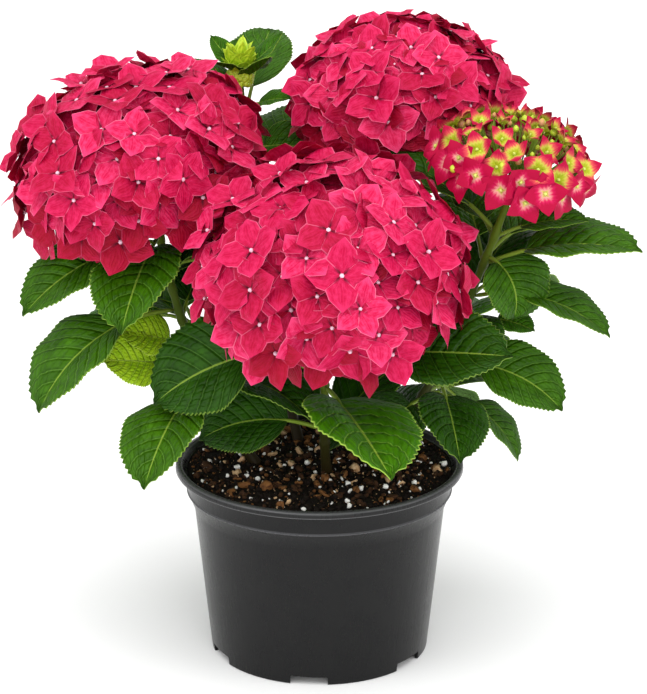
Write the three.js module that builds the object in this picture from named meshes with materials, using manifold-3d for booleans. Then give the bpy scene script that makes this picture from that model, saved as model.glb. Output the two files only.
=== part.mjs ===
// Mophead hydrangea in a round nursery pot.
//
// Millimetres, +Z up. The origin is the middle of the pot's underside, where the pot stands. -Y is the front
// of the plant, where its largest flower head hangs forward over the rim. Headings are compass-like: 0 points
// along +X, 90 along +Y, 270 to the front.
//
// The plant is a handful of shoots that rise from the potting mix. Each shoot is a bare stem, then a mass of
// leaves in opposite pairs on the same stem, and then a flower head, a bud, or nothing. The three follow one
// curve, end to end.

import * as THREE from "three";
import { mergeVertices } from "three/addons/utils/BufferGeometryUtils.js";
import Module from "manifold-3d";

const wasm = await Module();
wasm.setup();

// ---------------------------------------------------------------- driving sizes

const GAP = 0.3; // clearance where two solids meet

const POT = {
  height: 136,
  footRadius: 76,
  waistRadius: 87, // at the top of the tapered wall
  waistHeight: 105,
  collarHeight: 19, // from the collar's foot to the top of the rim
  collarRadius: 92, // at its foot, where a shoulder has widened the wall
  collarFlare: 1, // how much wider it is under the rim
  rimRadius: 100,
  rimHeight: 6,
  rimInset: 4.4, // how far the mouth's edge lies inside the rim
  wall: 1.8,
  floorLift: 7, // the ring of the floor that is raised clear of the ground
  padRadius: 42, // the middle of the floor, which stands on the ground
  notches: 6,
  notchWidth: 26,
  notchHeight: 6,
  notchDepth: 16,
  notchHeading: 264.5, // the notch nearest the front
  drainRadius: 5,
  drainLength: 8,
  drainInset: 13, // from the foot's edge to the hole's middle
  sides: 30,
};

const SOIL = { top: 134, edgeDrop: 1.5, flatRadius: 66 };

const STEM = { footRadius: 3.4, tipRadius: 2.4, sides: 6, stepLength: 30 };

const LEAF = {
  thickness: 1.3,
  stalk: 0.24, // the petiole's usual share of the reach
  petioleWidth: 3.4,
  petioleThickness: 2.6,
  tipWidth: 1.2,
  fold: 16, // degrees that each half is raised from the midrib
  stations: [0, 0.13, 0.38, 0.7, 1],
  unevenTwin: 0.12, // how much smaller the opposite leaf may be
};

const FLORET = { cup: 0.12 }; // how far the sepals' tips stand above the eye, as a share of the radius

// ---------------------------------------------------------------- the plant

// foot: where the stem stands in the pot. bend and throat: the curve's control point and its end, where the
// flower's stalks begin. mass: the share of the curve that carries leaves.
// Each leaf has at, its place as a share of the curve; heading; rise, the slope at which it leaves the stem;
// droop, the degrees that it bends down by its tip; reach, from the stem to the tip; width; roll, its turn
// about the midrib; and stalk, the petiole's share of the reach. twin is the heading of the other leaf of
// the pair.
const SHOOTS = {
  front: {
    foot: [5, -20],
    bend: [0, -45, 200],
    throat: [8, -72, 262],
    mass: [0.12, 0.84],
    leaves: [
      { at: 0.78, heading: 336, rise: 11, droop: 8, reach: 132, width: 62, roll: 38, stalk: 0.42 },
      { at: 0.8, heading: 177, rise: 6, droop: 50, reach: 127, width: 70, roll: -50, stalk: 0.4 },
      { at: 0.57, heading: 288, rise: 0, droop: 14, reach: 138, width: 78, roll: -10, stalk: 0.2, twin: 95 },
      { at: 0.28, heading: 170, rise: 20, droop: 57, reach: 92, width: 52, roll: -48, stalk: 0.28 },
      { at: 0.2, heading: 45, rise: 45, droop: 45, reach: 105, width: 55 },
    ],
  },
  left: {
    foot: [-45, 0],
    bend: [-98, 0, 215],
    throat: [-112, 29, 306],
    mass: [0.15, 0.93],
    leaves: [
      { at: 0.9, heading: 202, rise: 2, droop: 50, reach: 112, width: 52, roll: -20, stalk: 0.32 },
      { at: 0.92, heading: 258, rise: -4, droop: 34, reach: 110, width: 64, roll: 10, stalk: 0.2, twin: 142 },
      { at: 0.64, heading: 209, rise: 8, droop: 72, reach: 129, width: 66, roll: -8, stalk: 0.36 },
      { at: 0.8, heading: 0, rise: 25, droop: 65, reach: 86, width: 44, twin: 150 },
      { at: 0.72, heading: 90, rise: 28, droop: 65, reach: 78, width: 42 },
      { at: 0.41, heading: 202, rise: 16, droop: 9, reach: 73, width: 42, roll: -50, stalk: 0.42 },
      { at: 0.5, heading: 195, rise: 22, droop: 15, reach: 52, width: 40, roll: -35, stalk: 0.3 },
      { at: 0.36, heading: 250, rise: 6, droop: 52, reach: 122, width: 60, roll: 9, stalk: 0.36 },
      { at: 0.34, heading: 315, rise: 30, droop: 60, reach: 105, width: 55 },
      { at: 0.6, heading: 75, rise: 45, droop: 45, reach: 65, width: 34 },
    ],
  },
  right: {
    foot: [45, -5],
    bend: [92, -10, 220],
    throat: [126, -37, 338],
    mass: [0.12, 0.93],
    leaves: [
      { at: 0.86, heading: 350, rise: 32, droop: 38, reach: 66, width: 30, roll: 17, stalk: 0.3, twin: 110 },
      { at: 0.77, heading: 342, rise: 30, droop: 40, reach: 112, width: 54, roll: 12, stalk: 0.28, twin: 95 },
      { at: 0.8, heading: 318, rise: -4, droop: 110, reach: 54, width: 58, roll: 10, stalk: 0.18 },
      { at: 0.66, heading: 342, rise: 20, droop: 62, reach: 104, width: 42, roll: 10, stalk: 0.35, twin: 50 },
      { at: 0.57, heading: 346, rise: 22, droop: 49, reach: 54, width: 24, roll: 25, stalk: 0.5 },
      { at: 0.41, heading: 347, rise: 16, droop: 66, reach: 95, width: 50, roll: 36, stalk: 0.3, twin: 110 },
      { at: 0.38, heading: 277, rise: 7, droop: 40, reach: 113, width: 50, roll: -12, stalk: 0.4 },
      { at: 0.3, heading: 347, rise: 6, droop: 80, reach: 86, width: 34, roll: 10, stalk: 0.4, twin: 60 },
      { at: 0.28, heading: 240, rise: 5, droop: 30, reach: 75, width: 44, roll: -30, stalk: 0.2 },
      { at: 0.6, heading: 195, rise: 25, droop: 65, reach: 100, width: 50, twin: 127 },
      { at: 0.8, heading: 45, rise: 35, droop: 75, reach: 104, width: 50 },
      { at: 0.6, heading: 60, rise: 45, droop: 45, reach: 105, width: 55 },
      { at: 0.6, heading: 285, rise: 15, droop: 55, reach: 65, width: 34 },
      { at: 0.88, heading: 150, rise: 45, droop: 45, reach: 105, width: 55 },
    ],
  },
  back: {
    foot: [22, 38],
    bend: [40, 60, 240],
    throat: [58, 88, 338],
    mass: [0.25, 0.93],
    leaves: [
      { at: 0.84, heading: 195, rise: 42, droop: 55, reach: 66, width: 36, roll: -20, stalk: 0.25 },
      { at: 0.7, heading: 255, rise: 45, droop: 55, reach: 74, width: 44, stalk: 0.25, twin: 80 },
      { at: 0.54, heading: 28, rise: 22, droop: 60, reach: 112, width: 58, stalk: 0.25, twin: 115 },
      { at: 0.3, heading: 88, rise: 22, droop: 62, reach: 118, width: 62, stalk: 0.22 },
      { at: 0.8, heading: 15, rise: 25, droop: 65, reach: 104, width: 52 },
      { at: 0.6, heading: 198, rise: 15, droop: 55, reach: 84, width: 42 },
      { at: 0.8, heading: 120, rise: 45, droop: 45, reach: 85, width: 44 },
    ],
  },
  bud: {
    foot: [-15, 45],
    bend: [-45, 85, 250],
    throat: [-56, 105, 383],
    mass: [0.2, 0.94],
    leaves: [
      { at: 0.91, heading: 322, rise: 37, droop: 34, reach: 47, width: 20, roll: 26, stalk: 0.35 },
      { at: 0.9, heading: 180, rise: 54, droop: 30, reach: 60, width: 26, roll: -21, stalk: 0.27 },
      { at: 0.87, heading: 150, rise: 52, droop: 40, reach: 62, width: 34, stalk: 0.3 },
      { at: 0.88, heading: 80, rise: 40, droop: 30, reach: 111, width: 48, roll: 4, stalk: 0.31 },
      { at: 0.8, heading: 356, rise: 30, droop: 75, reach: 64, width: 40, roll: 40, stalk: 0.2 },
      { at: 0.62, heading: 60, rise: 20, droop: 60, reach: 105, width: 56, stalk: 0.22, twin: 165 },
      { at: 0.4, heading: 110, rise: 18, droop: 60, reach: 118, width: 60, stalk: 0.22 },
      { at: 0.8, heading: 105, rise: 15, droop: 55, reach: 104, width: 52 },
      { at: 0.7, heading: 285, rise: 35, droop: 75, reach: 100, width: 50 },
      { at: 0.6, heading: 240, rise: 30, droop: 60, reach: 105, width: 55 },
      { at: 0.7, heading: 60, rise: 45, droop: 45, reach: 105, width: 55 },
    ],
  },
  sideBack: {
    foot: [-52, 40],
    bend: [-75, 60, 160],
    throat: [-90, 75, 215],
    mass: [0.2, 1],
    leaves: [
      { at: 0.97, heading: 110, rise: 25, droop: 60, reach: 95, width: 54, stalk: 0.22, twin: 180 },
      { at: 0.5, heading: 140, rise: 22, droop: 64, reach: 74, width: 48, stalk: 0.22 },
      { at: 0.6, heading: 75, rise: 25, droop: 65, reach: 104, width: 52 },
      { at: 0.26, heading: 45, rise: 25, droop: 65, reach: 86, width: 44 },
      { at: 0.88, heading: 140, rise: 40, droop: 45, reach: 95, width: 46 },
      { at: 0.6, heading: 330, rise: 40, droop: 90, reach: 105, width: 55 },
    ],
  },
  sideRight: {
    foot: [56, 34],
    bend: [80, 50, 160],
    throat: [92, 62, 206],
    mass: [0.2, 1],
    leaves: [
      { at: 0.97, heading: 70, rise: 30, droop: 62, reach: 95, width: 54, stalk: 0.22, twin: 290 },
      { at: 0.5, heading: 30, rise: 22, droop: 64, reach: 100, width: 56, stalk: 0.22 },
      { at: 0.7, heading: 90, rise: 15, droop: 55, reach: 104, width: 52 },
      { at: 0.26, heading: 105, rise: 25, droop: 65, reach: 86, width: 44, twin: 210 },
    ],
  },
};

// radius: across the flower head. height: half its depth. lean: the degrees its crown tips over, to heading.
const FLOWERS = {
  front: { centre: [8, -85, 301], radius: 92, height: 76, lean: 16, heading: 270, florets: 50, size: 21.5 },
  left: { centre: [-123, 25, 342], radius: 91, height: 70, lean: 14, heading: 190, florets: 48, size: 21.5 },
  back: { centre: [60, 90, 371], radius: 80, height: 61, lean: 6, heading: 45, florets: 42, size: 20.5 },
  right: { centre: [126, -40, 358], radius: 55, height: 35, lean: 12, heading: 345, florets: 34, size: 13 },
};
const HEAD = {
  reachDown: 116, // degrees from the crown to the lowest florets
  core: 0.6, // the core's size in the head's
  coreSides: 10,
  golden: 2.399963,
  unevenHeight: 0.045,
  tilt: 14, // degrees that a floret may turn off the head's surface
};

// ---------------------------------------------------------------- materials

const finish = (colour, roughness) =>
  new THREE.MeshStandardMaterial({ color: colour, roughness, metalness: 0 });
const MATERIALS = {
  pot: finish(0x2b2c2d, 0.45),
  soil: finish(0x2a1d15, 0.95),
  stem: finish(0x6d8a3a, 0.6),
  leaf: finish(0x2f6a25, 0.5),
  sepal: finish(0xd8265a, 0.6),
  youngSepal: finish(0xc23a5c, 0.6),
  bud: finish(0x9dbb2c, 0.6),
};

// ---------------------------------------------------------------- helpers

const radians = THREE.MathUtils.degToRad;
const vector = (p) => new THREE.Vector3(...p);
const UP = new THREE.Vector3(0, 0, 1);

// The same "random" share, from 0 to 1, for the same seed every time.
function chance(seed) {
  const wave = Math.sin(seed * 12.9898 + 4.1414) * 43758.5453;
  return wave - Math.floor(wave);
}

// A closed three.js geometry as a solid that can be joined and cut.
function solid(geometry) {
  const bare = new THREE.BufferGeometry();
  bare.setAttribute("position", geometry.getAttribute("position"));
  bare.setIndex(geometry.index);
  const merged = mergeVertices(bare, 1e-4);
  return new wasm.Manifold(
    new wasm.Mesh({
      numProp: 3,
      vertProperties: merged.getAttribute("position").array,
      triVerts: new Uint32Array(merged.index.array),
    }),
  );
}

const fuse = (solids) => solids.reduce((whole, piece) => whole.add(piece));

function node(name, made, material) {
  const { vertProperties, triVerts } = made.getMesh();
  const geometry = new THREE.BufferGeometry();
  geometry.setAttribute("position", new THREE.BufferAttribute(vertProperties, 3));
  geometry.setIndex(new THREE.BufferAttribute(triVerts, 1));
  geometry.computeVertexNormals();
  const mesh = new THREE.Mesh(geometry, material);
  mesh.name = name;
  return mesh;
}

// Moves each vertex of a geometry to place(x, y, z).
function reshape(geometry, place) {
  const at = geometry.getAttribute("position");
  for (let i = 0; i < at.count; i++) {
    const p = place(at.getX(i), at.getY(i), at.getZ(i));
    at.setXYZ(i, p.x, p.y, p.z);
  }
  return geometry;
}

// A tapering limb along a curve, from share to share of it, with flat ends.
function limb(curve, from, to, radiusAt) {
  const steps = Math.ceil((curve.getLength() * (to - from)) / STEM.stepLength);
  const tube = new THREE.CylinderGeometry(1, 1, 1, STEM.sides, steps);
  return solid(
    reshape(tube, (x, y, z) => {
      const t = from + (y + 0.5) * (to - from);
      const along = curve.getTangent(Math.max(t, 0));
      const across = new THREE.Vector3(1, 0, 0).addScaledVector(along, -along.x).normalize();
      const third = new THREE.Vector3().crossVectors(across, along);
      const r = radiusAt(t);
      return curve.getPoint(t).addScaledVector(across, x * r).addScaledVector(third, z * r);
    }),
  );
}

// ---------------------------------------------------------------- pot and potting mix

function potProfile() {
  const p = POT;
  const ledge = p.height - p.collarHeight;
  const lipFoot = p.height - p.rimHeight;
  return [
    [0, 0],
    [p.padRadius, 0],
    [p.padRadius + 3, p.floorLift],
    [p.footRadius - 3, p.floorLift],
    [p.footRadius - 2.5, 0],
    [p.footRadius, 0],
    [p.waistRadius, p.waistHeight],
    [p.collarRadius, ledge],
    [p.collarRadius + p.collarFlare, lipFoot],
    [p.rimRadius - 2.2, lipFoot],
    [p.rimRadius, lipFoot + 1.6],
    [p.rimRadius, p.height - 1.8],
    [p.rimRadius - 1.6, p.height],
    [p.rimRadius - p.rimInset, p.height],
    [p.collarRadius + p.collarFlare - p.wall, lipFoot],
    [p.collarRadius - p.wall, ledge],
    [p.waistRadius - p.wall, p.waistHeight],
    [p.footRadius - 1.6, p.floorLift + p.wall],
    [p.padRadius + 3, p.floorLift + p.wall],
    [p.padRadius, p.wall],
    [0, p.wall],
  ];
}

const lathe = (profile, sides) => {
  const points = profile.map(([r, z]) => new THREE.Vector2(r, z));
  return new THREE.LatheGeometry(points, sides).rotateX(Math.PI / 2);
};

function makePot() {
  let pot = solid(lathe(potProfile(), POT.sides));
  for (let i = 0; i < POT.notches; i++) {
    const turn = radians(POT.notchHeading + (360 / POT.notches) * i);
    const notch = new THREE.BoxGeometry(POT.notchDepth, POT.notchWidth, 2 * POT.notchHeight)
      .translate(POT.footRadius, 0, 0)
      .rotateZ(turn);
    const drain = new THREE.CylinderGeometry(POT.drainRadius, POT.drainRadius, POT.drainLength, 8)
      .rotateX(Math.PI / 2)
      .translate(POT.footRadius - POT.drainInset, 0, POT.floorLift)
      .rotateZ(turn);
    pot = pot.subtract(solid(notch)).subtract(solid(drain));
  }
  return pot;
}

function makeSoil() {
  const p = POT;
  const lipFoot = p.height - p.rimHeight;
  const inside = p.wall + GAP;
  const edge = SOIL.top - SOIL.edgeDrop;
  const neckRadius = p.collarRadius + p.collarFlare - inside;
  const climb = (edge - lipFoot) / p.rimHeight;
  const edgeRadius = neckRadius + (p.rimRadius - p.rimInset - GAP - neckRadius) * climb - GAP;
  return solid(
    lathe(
      [
        [0, inside],
        [p.padRadius - 0.4, inside],
        [p.padRadius + 2.6, p.floorLift + inside],
        [p.footRadius - 2, p.floorLift + inside],
        [p.waistRadius - inside, p.waistHeight],
        [neckRadius, lipFoot],
        [edgeRadius, edge],
        [SOIL.flatRadius, SOIL.top],
        [0, SOIL.top],
      ],
      POT.sides,
    ),
  );
}

// ---------------------------------------------------------------- leaves

// The midrib and its petiole are one arc. share runs from 0 at the stem to 1 at the tip.
function midrib(leaf, share) {
  const { root, heading, rise, droop, reach } = leaf;
  const a = radians(rise);
  const d = radians(droop);
  const forward = (reach * (Math.sin(a) - Math.sin(a - d * share))) / d;
  const upward = (reach * (Math.cos(a - d * share) - Math.cos(a))) / d;
  const slope = a - d * share;
  const out = new THREE.Vector3(Math.cos(radians(heading)), Math.sin(radians(heading)), 0);
  return {
    point: root.clone().addScaledVector(out, forward).addScaledVector(UP, upward),
    along: out.clone().multiplyScalar(Math.cos(slope)).addScaledVector(UP, Math.sin(slope)),
    side: new THREE.Vector3(out.y, -out.x, 0),
  };
}

// The blade's half width at a share of its own length: full below the middle, drawn out to a point.
const bladeShape = (s) => Math.pow(s / 0.4, 0.57) * Math.pow((1 - s) / 0.6, 0.85);

// A petiole and its blade in one piece. The blade's halves are raised from the midrib like shallow wings.
function makeLeaf(leaf) {
  const stations = [0, ...LEAF.stations.map((s) => leaf.stalk + (1 - leaf.stalk) * s)];
  const last = stations.length - 1;
  const box = new THREE.BoxGeometry(1, 1, 1, 2, last, 1);
  return solid(
    reshape(box, (x, y, z) => {
      const step = Math.round((y + 0.5) * last);
      const { point, along, side } = midrib(leaf, stations[step]);
      const blade = step > 1 ? LEAF.stations[step - 1] : 0;
      const narrow = step > 1 ? LEAF.tipWidth : LEAF.petioleWidth;
      const thickness = step > 1 ? LEAF.thickness : LEAF.petioleThickness;
      const width = 2 * x * Math.max(narrow, leaf.width * bladeShape(blade));
      const fold = radians(step > 1 ? LEAF.fold : 0);
      const across = side.clone().applyAxisAngle(along, radians(leaf.roll));
      const normal = new THREE.Vector3().crossVectors(across, along);
      return point
        .addScaledVector(across, (width / 2) * Math.cos(fold))
        .addScaledVector(normal, Math.abs(width / 2) * Math.sin(fold) + z * thickness);
    }),
  );
}

// Every leaf of a shoot. The twin of each pair is a little smaller.
function leavesOf(shoot, curve) {
  return shoot.leaves.flatMap((row, i) => {
    const leaf = { roll: 0, stalk: LEAF.stalk, ...row, root: curve.getPoint(row.at) };
    if (row.twin === undefined) return [leaf];
    const smaller = 1 - LEAF.unevenTwin * chance(i + row.heading);
    const twin = { ...leaf, heading: row.twin, roll: 0 };
    return [leaf, { ...twin, reach: row.reach * smaller, width: row.width * smaller }];
  });
}

// ---------------------------------------------------------------- shoots

const shootCurve = (shoot) =>
  new THREE.QuadraticBezierCurve3(
    new THREE.Vector3(...shoot.foot, SOIL.top + GAP),
    vector(shoot.bend),
    vector(shoot.throat),
  );

const stemRadius = (t) => STEM.footRadius + (STEM.tipRadius - STEM.footRadius) * t;

function makeStem(shoot, curve) {
  // Its foot is cut level, so that it stands flat on the potting mix.
  const buried = new THREE.BoxGeometry(40, 40, 20).translate(...shoot.foot, SOIL.top + GAP - 10);
  const end = shoot.mass[0] - GAP / curve.getLength();
  return limb(curve, -0.04, end, stemRadius).subtract(solid(buried));
}

function makeFoliage(shoot, curve) {
  const stem = limb(curve, shoot.mass[0], shoot.mass[1], stemRadius);
  return fuse([stem, ...leavesOf(shoot, curve).map(makeLeaf)]);
}

// ---------------------------------------------------------------- flower heads

// A four-sepalled floret, dished at its eye, whose underside narrows to a stalk that ends at the root.
function makeFloret(face, outward, spin, size, root) {
  const cone = new THREE.CylinderGeometry(1, 0, 1, 4, 1);
  const across = new THREE.Vector3(1, 0, 0).cross(outward).normalize();
  const third = new THREE.Vector3().crossVectors(across, outward);
  return solid(
    reshape(cone, (x, y, z) => {
      if (y < 0) return root.clone();
      const reach = size * Math.hypot(x, z);
      const turn = Math.atan2(z, x) + spin;
      return face
        .clone()
        .addScaledVector(across, reach * Math.cos(turn))
        .addScaledVector(third, reach * Math.sin(turn))
        .addScaledVector(outward, FLORET.cup * reach);
    }),
  );
}

// The crown's direction, and a head's own axes.
function headAxes(flower) {
  const lean = radians(flower.lean);
  const heading = radians(flower.heading);
  const tip = [Math.sin(lean) * Math.cos(heading), Math.sin(lean) * Math.sin(heading), Math.cos(lean)];
  return new THREE.Quaternion().setFromUnitVectors(UP, vector(tip));
}

function makeFlowerHead(shoot, curve, flower, seed) {
  const axes = headAxes(flower);
  const centre = vector(flower.centre);
  const inHead = (x, y, z) => new THREE.Vector3(x, y, z).applyQuaternion(axes).add(centre);
  const hub = inHead(0, 0, -0.3 * flower.height);

  const from = shoot.mass[1] + GAP / curve.getLength();
  const stalk = limb(curve, from, 1, stemRadius);
  const ray = new THREE.LineCurve3(curve.getPoint(0.99), hub);
  const neck = limb(ray, 0, 1, () => STEM.tipRadius);

  const core = new THREE.SphereGeometry(1, HEAD.coreSides, HEAD.coreSides / 2);
  reshape(core, (x, y, z) => {
    const size = HEAD.core * flower.radius;
    return inHead(x * size, y * size, HEAD.core * flower.height * z - 0.12 * flower.height);
  });

  const lowest = Math.cos(radians(HEAD.reachDown));
  const florets = [];
  for (let i = 0; i < flower.florets; i++) {
    const rise = 1 - (1 - lowest) * ((i + 0.5) / flower.florets);
    const out = Math.sqrt(1 - rise * rise);
    const turn = HEAD.golden * i + seed;
    const swell = 1 - HEAD.unevenHeight * (i % 3) - 0.08;
    const x = out * Math.cos(turn);
    const y = out * Math.sin(turn);
    const face = inHead(x * flower.radius * swell, y * flower.radius * swell, rise * flower.height * swell);
    const tilt = (k) => Math.sin(radians(HEAD.tilt)) * (2 * chance(seed * 31 + i * 3 + k) - 1);
    const outward = new THREE.Vector3(
      x / flower.radius,
      y / flower.radius,
      rise / flower.height,
    )
      .normalize()
      .add(new THREE.Vector3(tilt(0), tilt(1), tilt(2)))
      .normalize()
      .applyQuaternion(axes);
    const size = flower.size * (0.88 + 0.2 * chance(seed * 17 + i));
    florets.push(makeFloret(face, outward, 6 * chance(seed * 7 + i), size, face.clone().lerp(hub, 0.62)));
  }
  return fuse([solid(core), stalk, neck, ...florets]);
}

// ---------------------------------------------------------------- the terminal bud

const BUD = { radius: 9, knobs: 14, knobSize: 4.5 };

function makeBud(shoot, curve) {
  const from = shoot.mass[1] + GAP / curve.getLength();
  const stalk = limb(curve, from, 1, stemRadius);
  const centre = vector(shoot.throat);
  const core = new THREE.SphereGeometry(BUD.radius, 8, 5).translate(...shoot.throat);
  const knobs = [];
  for (let i = 0; i < BUD.knobs; i++) {
    const rise = 1 - (i + 0.5) / BUD.knobs;
    const out = Math.sqrt(1 - rise * rise);
    const turn = HEAD.golden * i;
    const way = new THREE.Vector3(out * Math.cos(turn), out * Math.sin(turn), rise);
    const knob = new THREE.OctahedronGeometry(BUD.knobSize);
    knob.translate(...centre.clone().addScaledVector(way, BUD.radius + 1).toArray());
    knobs.push(solid(knob));
  }
  return fuse([stalk, solid(core), ...knobs]);
}

// ---------------------------------------------------------------- the whole plant

const plant = new THREE.Group();
plant.add(node("pot", makePot(), MATERIALS.pot));
plant.add(node("potting_mix", makeSoil(), MATERIALS.soil));

Object.entries(SHOOTS).forEach(([name, shoot], i) => {
  const label = name.replace(/[A-Z]/, (c) => "_" + c.toLowerCase());
  const curve = shootCurve(shoot);
  plant.add(node(`stem_${label}`, makeStem(shoot, curve), MATERIALS.stem));
  plant.add(node(`foliage_${label}`, makeFoliage(shoot, curve), MATERIALS.leaf));
  const flower = FLOWERS[name];
  if (flower) {
    const young = name === "right";
    const head = makeFlowerHead(shoot, curve, flower, i + 1);
    plant.add(node(`flower_${label}`, head, young ? MATERIALS.youngSepal : MATERIALS.sepal));
  }
  if (name === "bud") plant.add(node("bud_cluster", makeBud(shoot, curve), MATERIALS.bud));
});

export default plant;
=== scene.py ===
# %% [markdown]
# # A potted mophead hydrangea, piece by piece
# The plant is about 0.43 m tall in a black nursery pot. Seven shoots rise from the potting mix. Each is a
# stem, then pairs of serrated leaves, and then a flower head, a bud or nothing. The frame that is loaded
# here holds the plant's plain solids, in metres, and everything below is modelled round them.

# %% Load the frame
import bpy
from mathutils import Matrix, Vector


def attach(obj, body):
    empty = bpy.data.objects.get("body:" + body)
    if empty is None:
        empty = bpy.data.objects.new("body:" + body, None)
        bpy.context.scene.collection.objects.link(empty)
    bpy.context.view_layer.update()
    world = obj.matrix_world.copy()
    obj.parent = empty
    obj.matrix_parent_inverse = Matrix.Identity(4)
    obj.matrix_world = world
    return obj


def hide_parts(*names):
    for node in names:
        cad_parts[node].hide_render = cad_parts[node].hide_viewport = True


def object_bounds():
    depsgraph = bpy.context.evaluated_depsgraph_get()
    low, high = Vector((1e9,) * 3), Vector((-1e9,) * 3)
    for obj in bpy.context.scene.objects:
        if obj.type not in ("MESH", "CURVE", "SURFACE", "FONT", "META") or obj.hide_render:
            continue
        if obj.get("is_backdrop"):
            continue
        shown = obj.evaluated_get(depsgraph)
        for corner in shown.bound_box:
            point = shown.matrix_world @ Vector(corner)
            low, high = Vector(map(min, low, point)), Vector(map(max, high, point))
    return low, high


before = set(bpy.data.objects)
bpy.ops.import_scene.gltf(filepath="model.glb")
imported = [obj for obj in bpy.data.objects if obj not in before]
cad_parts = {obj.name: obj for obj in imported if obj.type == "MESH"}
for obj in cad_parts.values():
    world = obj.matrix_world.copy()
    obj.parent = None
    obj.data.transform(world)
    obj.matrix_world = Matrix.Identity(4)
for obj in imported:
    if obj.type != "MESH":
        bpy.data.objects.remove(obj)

cad_box = [list(corner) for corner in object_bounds()]

import math

import bmesh
import bpy
import numpy as np
from mathutils import Matrix, Vector

MM = 0.001
print("nodes in the frame:", len(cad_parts), "box:", cad_box)

# %% [markdown]
# ## Camera
# A long lens from two metres away flattens the plant only a little and keeps the pot's sides almost
# parallel. It looks down about 19 degrees, so that the potting mix shows under the leaves. The camera
# could be placed by hand in the viewport, but a place and a point to look at are easier to read and to
# change.

# %% Camera
VIEW_DISTANCE, VIEW_DOWN = 2.0, math.radians(18.6)
AIM = Vector((0.0028, 0, 0.2188))
SENSOR_MM, LENS_MM = 36, 151.3


def aim_at(thing, target):
    """Turns a camera or lamp so that it looks at a point."""
    thing.rotation_euler = (Vector(target) - thing.location).to_track_quat("-Z", "Y").to_euler()


back_off = Vector((0, -math.cos(VIEW_DOWN), math.sin(VIEW_DOWN))) * VIEW_DISTANCE
bpy.ops.object.camera_add(location=AIM + back_off)
camera = bpy.context.object
camera.data.sensor_width, camera.data.lens = SENSOR_MM, LENS_MM
aim_at(camera, AIM)
bpy.context.scene.camera = camera
print("camera at", [round(x, 3) for x in camera.location], "lens", camera.data.lens, "mm")

# %% [markdown]
# ## Nodes and colours
# Every finish below is a small tree of shader nodes. One function adds a node with its settings and links,
# and another turns the hex colours of a paint chart, which are sRGB, into the linear values that Blender
# mixes.

# %% Helpers for materials
def hex_colour(text):
    """'#2b2b2b' as linear red, green, blue and alpha."""
    channels = [int(text[i : i + 2], 16) / 255 for i in (1, 3, 5)]
    return [c / 12.92 if c <= 0.04045 else ((c + 0.055) / 1.055) ** 2.4 for c in channels] + [1]


def add(tree, kind, inputs=None, stops=None, **settings):
    """Adds a node and returns its outputs. inputs gives each socket, by name or number, a value, a hex colour
    or another node's output. stops are a ramp's colours: its first end, its last end, then those between."""
    made = tree.nodes.new("ShaderNode" + kind)
    for name, value in settings.items():
        setattr(made, name, value)
    for key, value in (inputs or {}).items():
        if isinstance(value, bpy.types.NodeSocket):
            tree.links.new(value, made.inputs[key])
        else:
            made.inputs[key].default_value = hex_colour(value) if isinstance(value, str) else value
    for i, (place, colour) in enumerate(stops or []):
        ramp = made.color_ramp.elements
        stop = ramp[i] if i < 2 else ramp.new(place)
        stop.position, stop.color = place, hex_colour(colour)
    return made.outputs


def new_finish(name, **constants):
    """A material with its Principled shader, whose unlinked sockets are set here."""
    made = bpy.data.materials.new(name)
    made.use_nodes = True
    shader = made.node_tree.nodes["Principled BSDF"]
    for socket, value in constants.items():
        shader.inputs[socket.replace("_", " ")].default_value = value
    return made, made.node_tree, shader


def link(tree, shader, **outputs):
    """Links node outputs to the shader's sockets."""
    for socket, output in outputs.items():
        tree.links.new(output, shader.inputs[socket.replace("_", " ")])


def surface(tree, shader, colour, rough, relief):
    """Links what varies over a surface: its colour, its roughness and its bumps. rough gives a pattern, how
    far it changes the roughness and from what. relief gives a pattern, its strength and its depth in mm."""
    pattern, change, least = rough
    roughness = add(tree, "Math", {0: pattern, 1: change, 2: least}, operation="MULTIPLY_ADD")[0]
    pattern, strength, depth = relief
    bump = add(tree, "Bump", {"Height": pattern, "Strength": strength, "Distance": depth * MM})[0]
    link(tree, shader, Base_Color=colour, Roughness=roughness, Normal=bump)


print("black plastic is", [round(c, 3) for c in hex_colour("#2b2b2b")])

# %% [markdown]
# ## Floor and light
# The floor is a white painted studio table. A wide soft lamp overhead and three weaker ones in front and
# beside it stand for softboxes: they light the flowers evenly and leave only a soft shadow round the pot.
# Suns are used because they light the whole floor alike, where an area lamp would leave a bright patch.

# %% Floor and light
scene = bpy.context.scene
scene.view_settings.view_transform = "Standard"
scene.world = bpy.data.worlds.new("white_studio")
scene.world.use_nodes = True
sky = scene.world.node_tree.nodes["Background"]
sky.inputs["Color"].default_value = hex_colour("#ffffff")
sky.inputs["Strength"].default_value = 0.7

for name, place, power, spread in (
    ("overhead_softbox", (-0.1, -1.1, 3.2), 2.0, 60),
    ("front_softbox", (0.2, -3.0, 0.6), 1.3, 50),
    ("left_softbox", (-3.0, -1.4, 1.3), 0.8, 45),
    ("right_softbox", (3.0, -1.2, 1.3), 0.7, 45),
):
    bpy.ops.object.light_add(type="SUN", location=place)
    lamp = bpy.context.object
    lamp.name, lamp.data.energy, lamp.data.angle = name, power, math.radians(spread)
    aim_at(lamp, (0, 0, 0))

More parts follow.
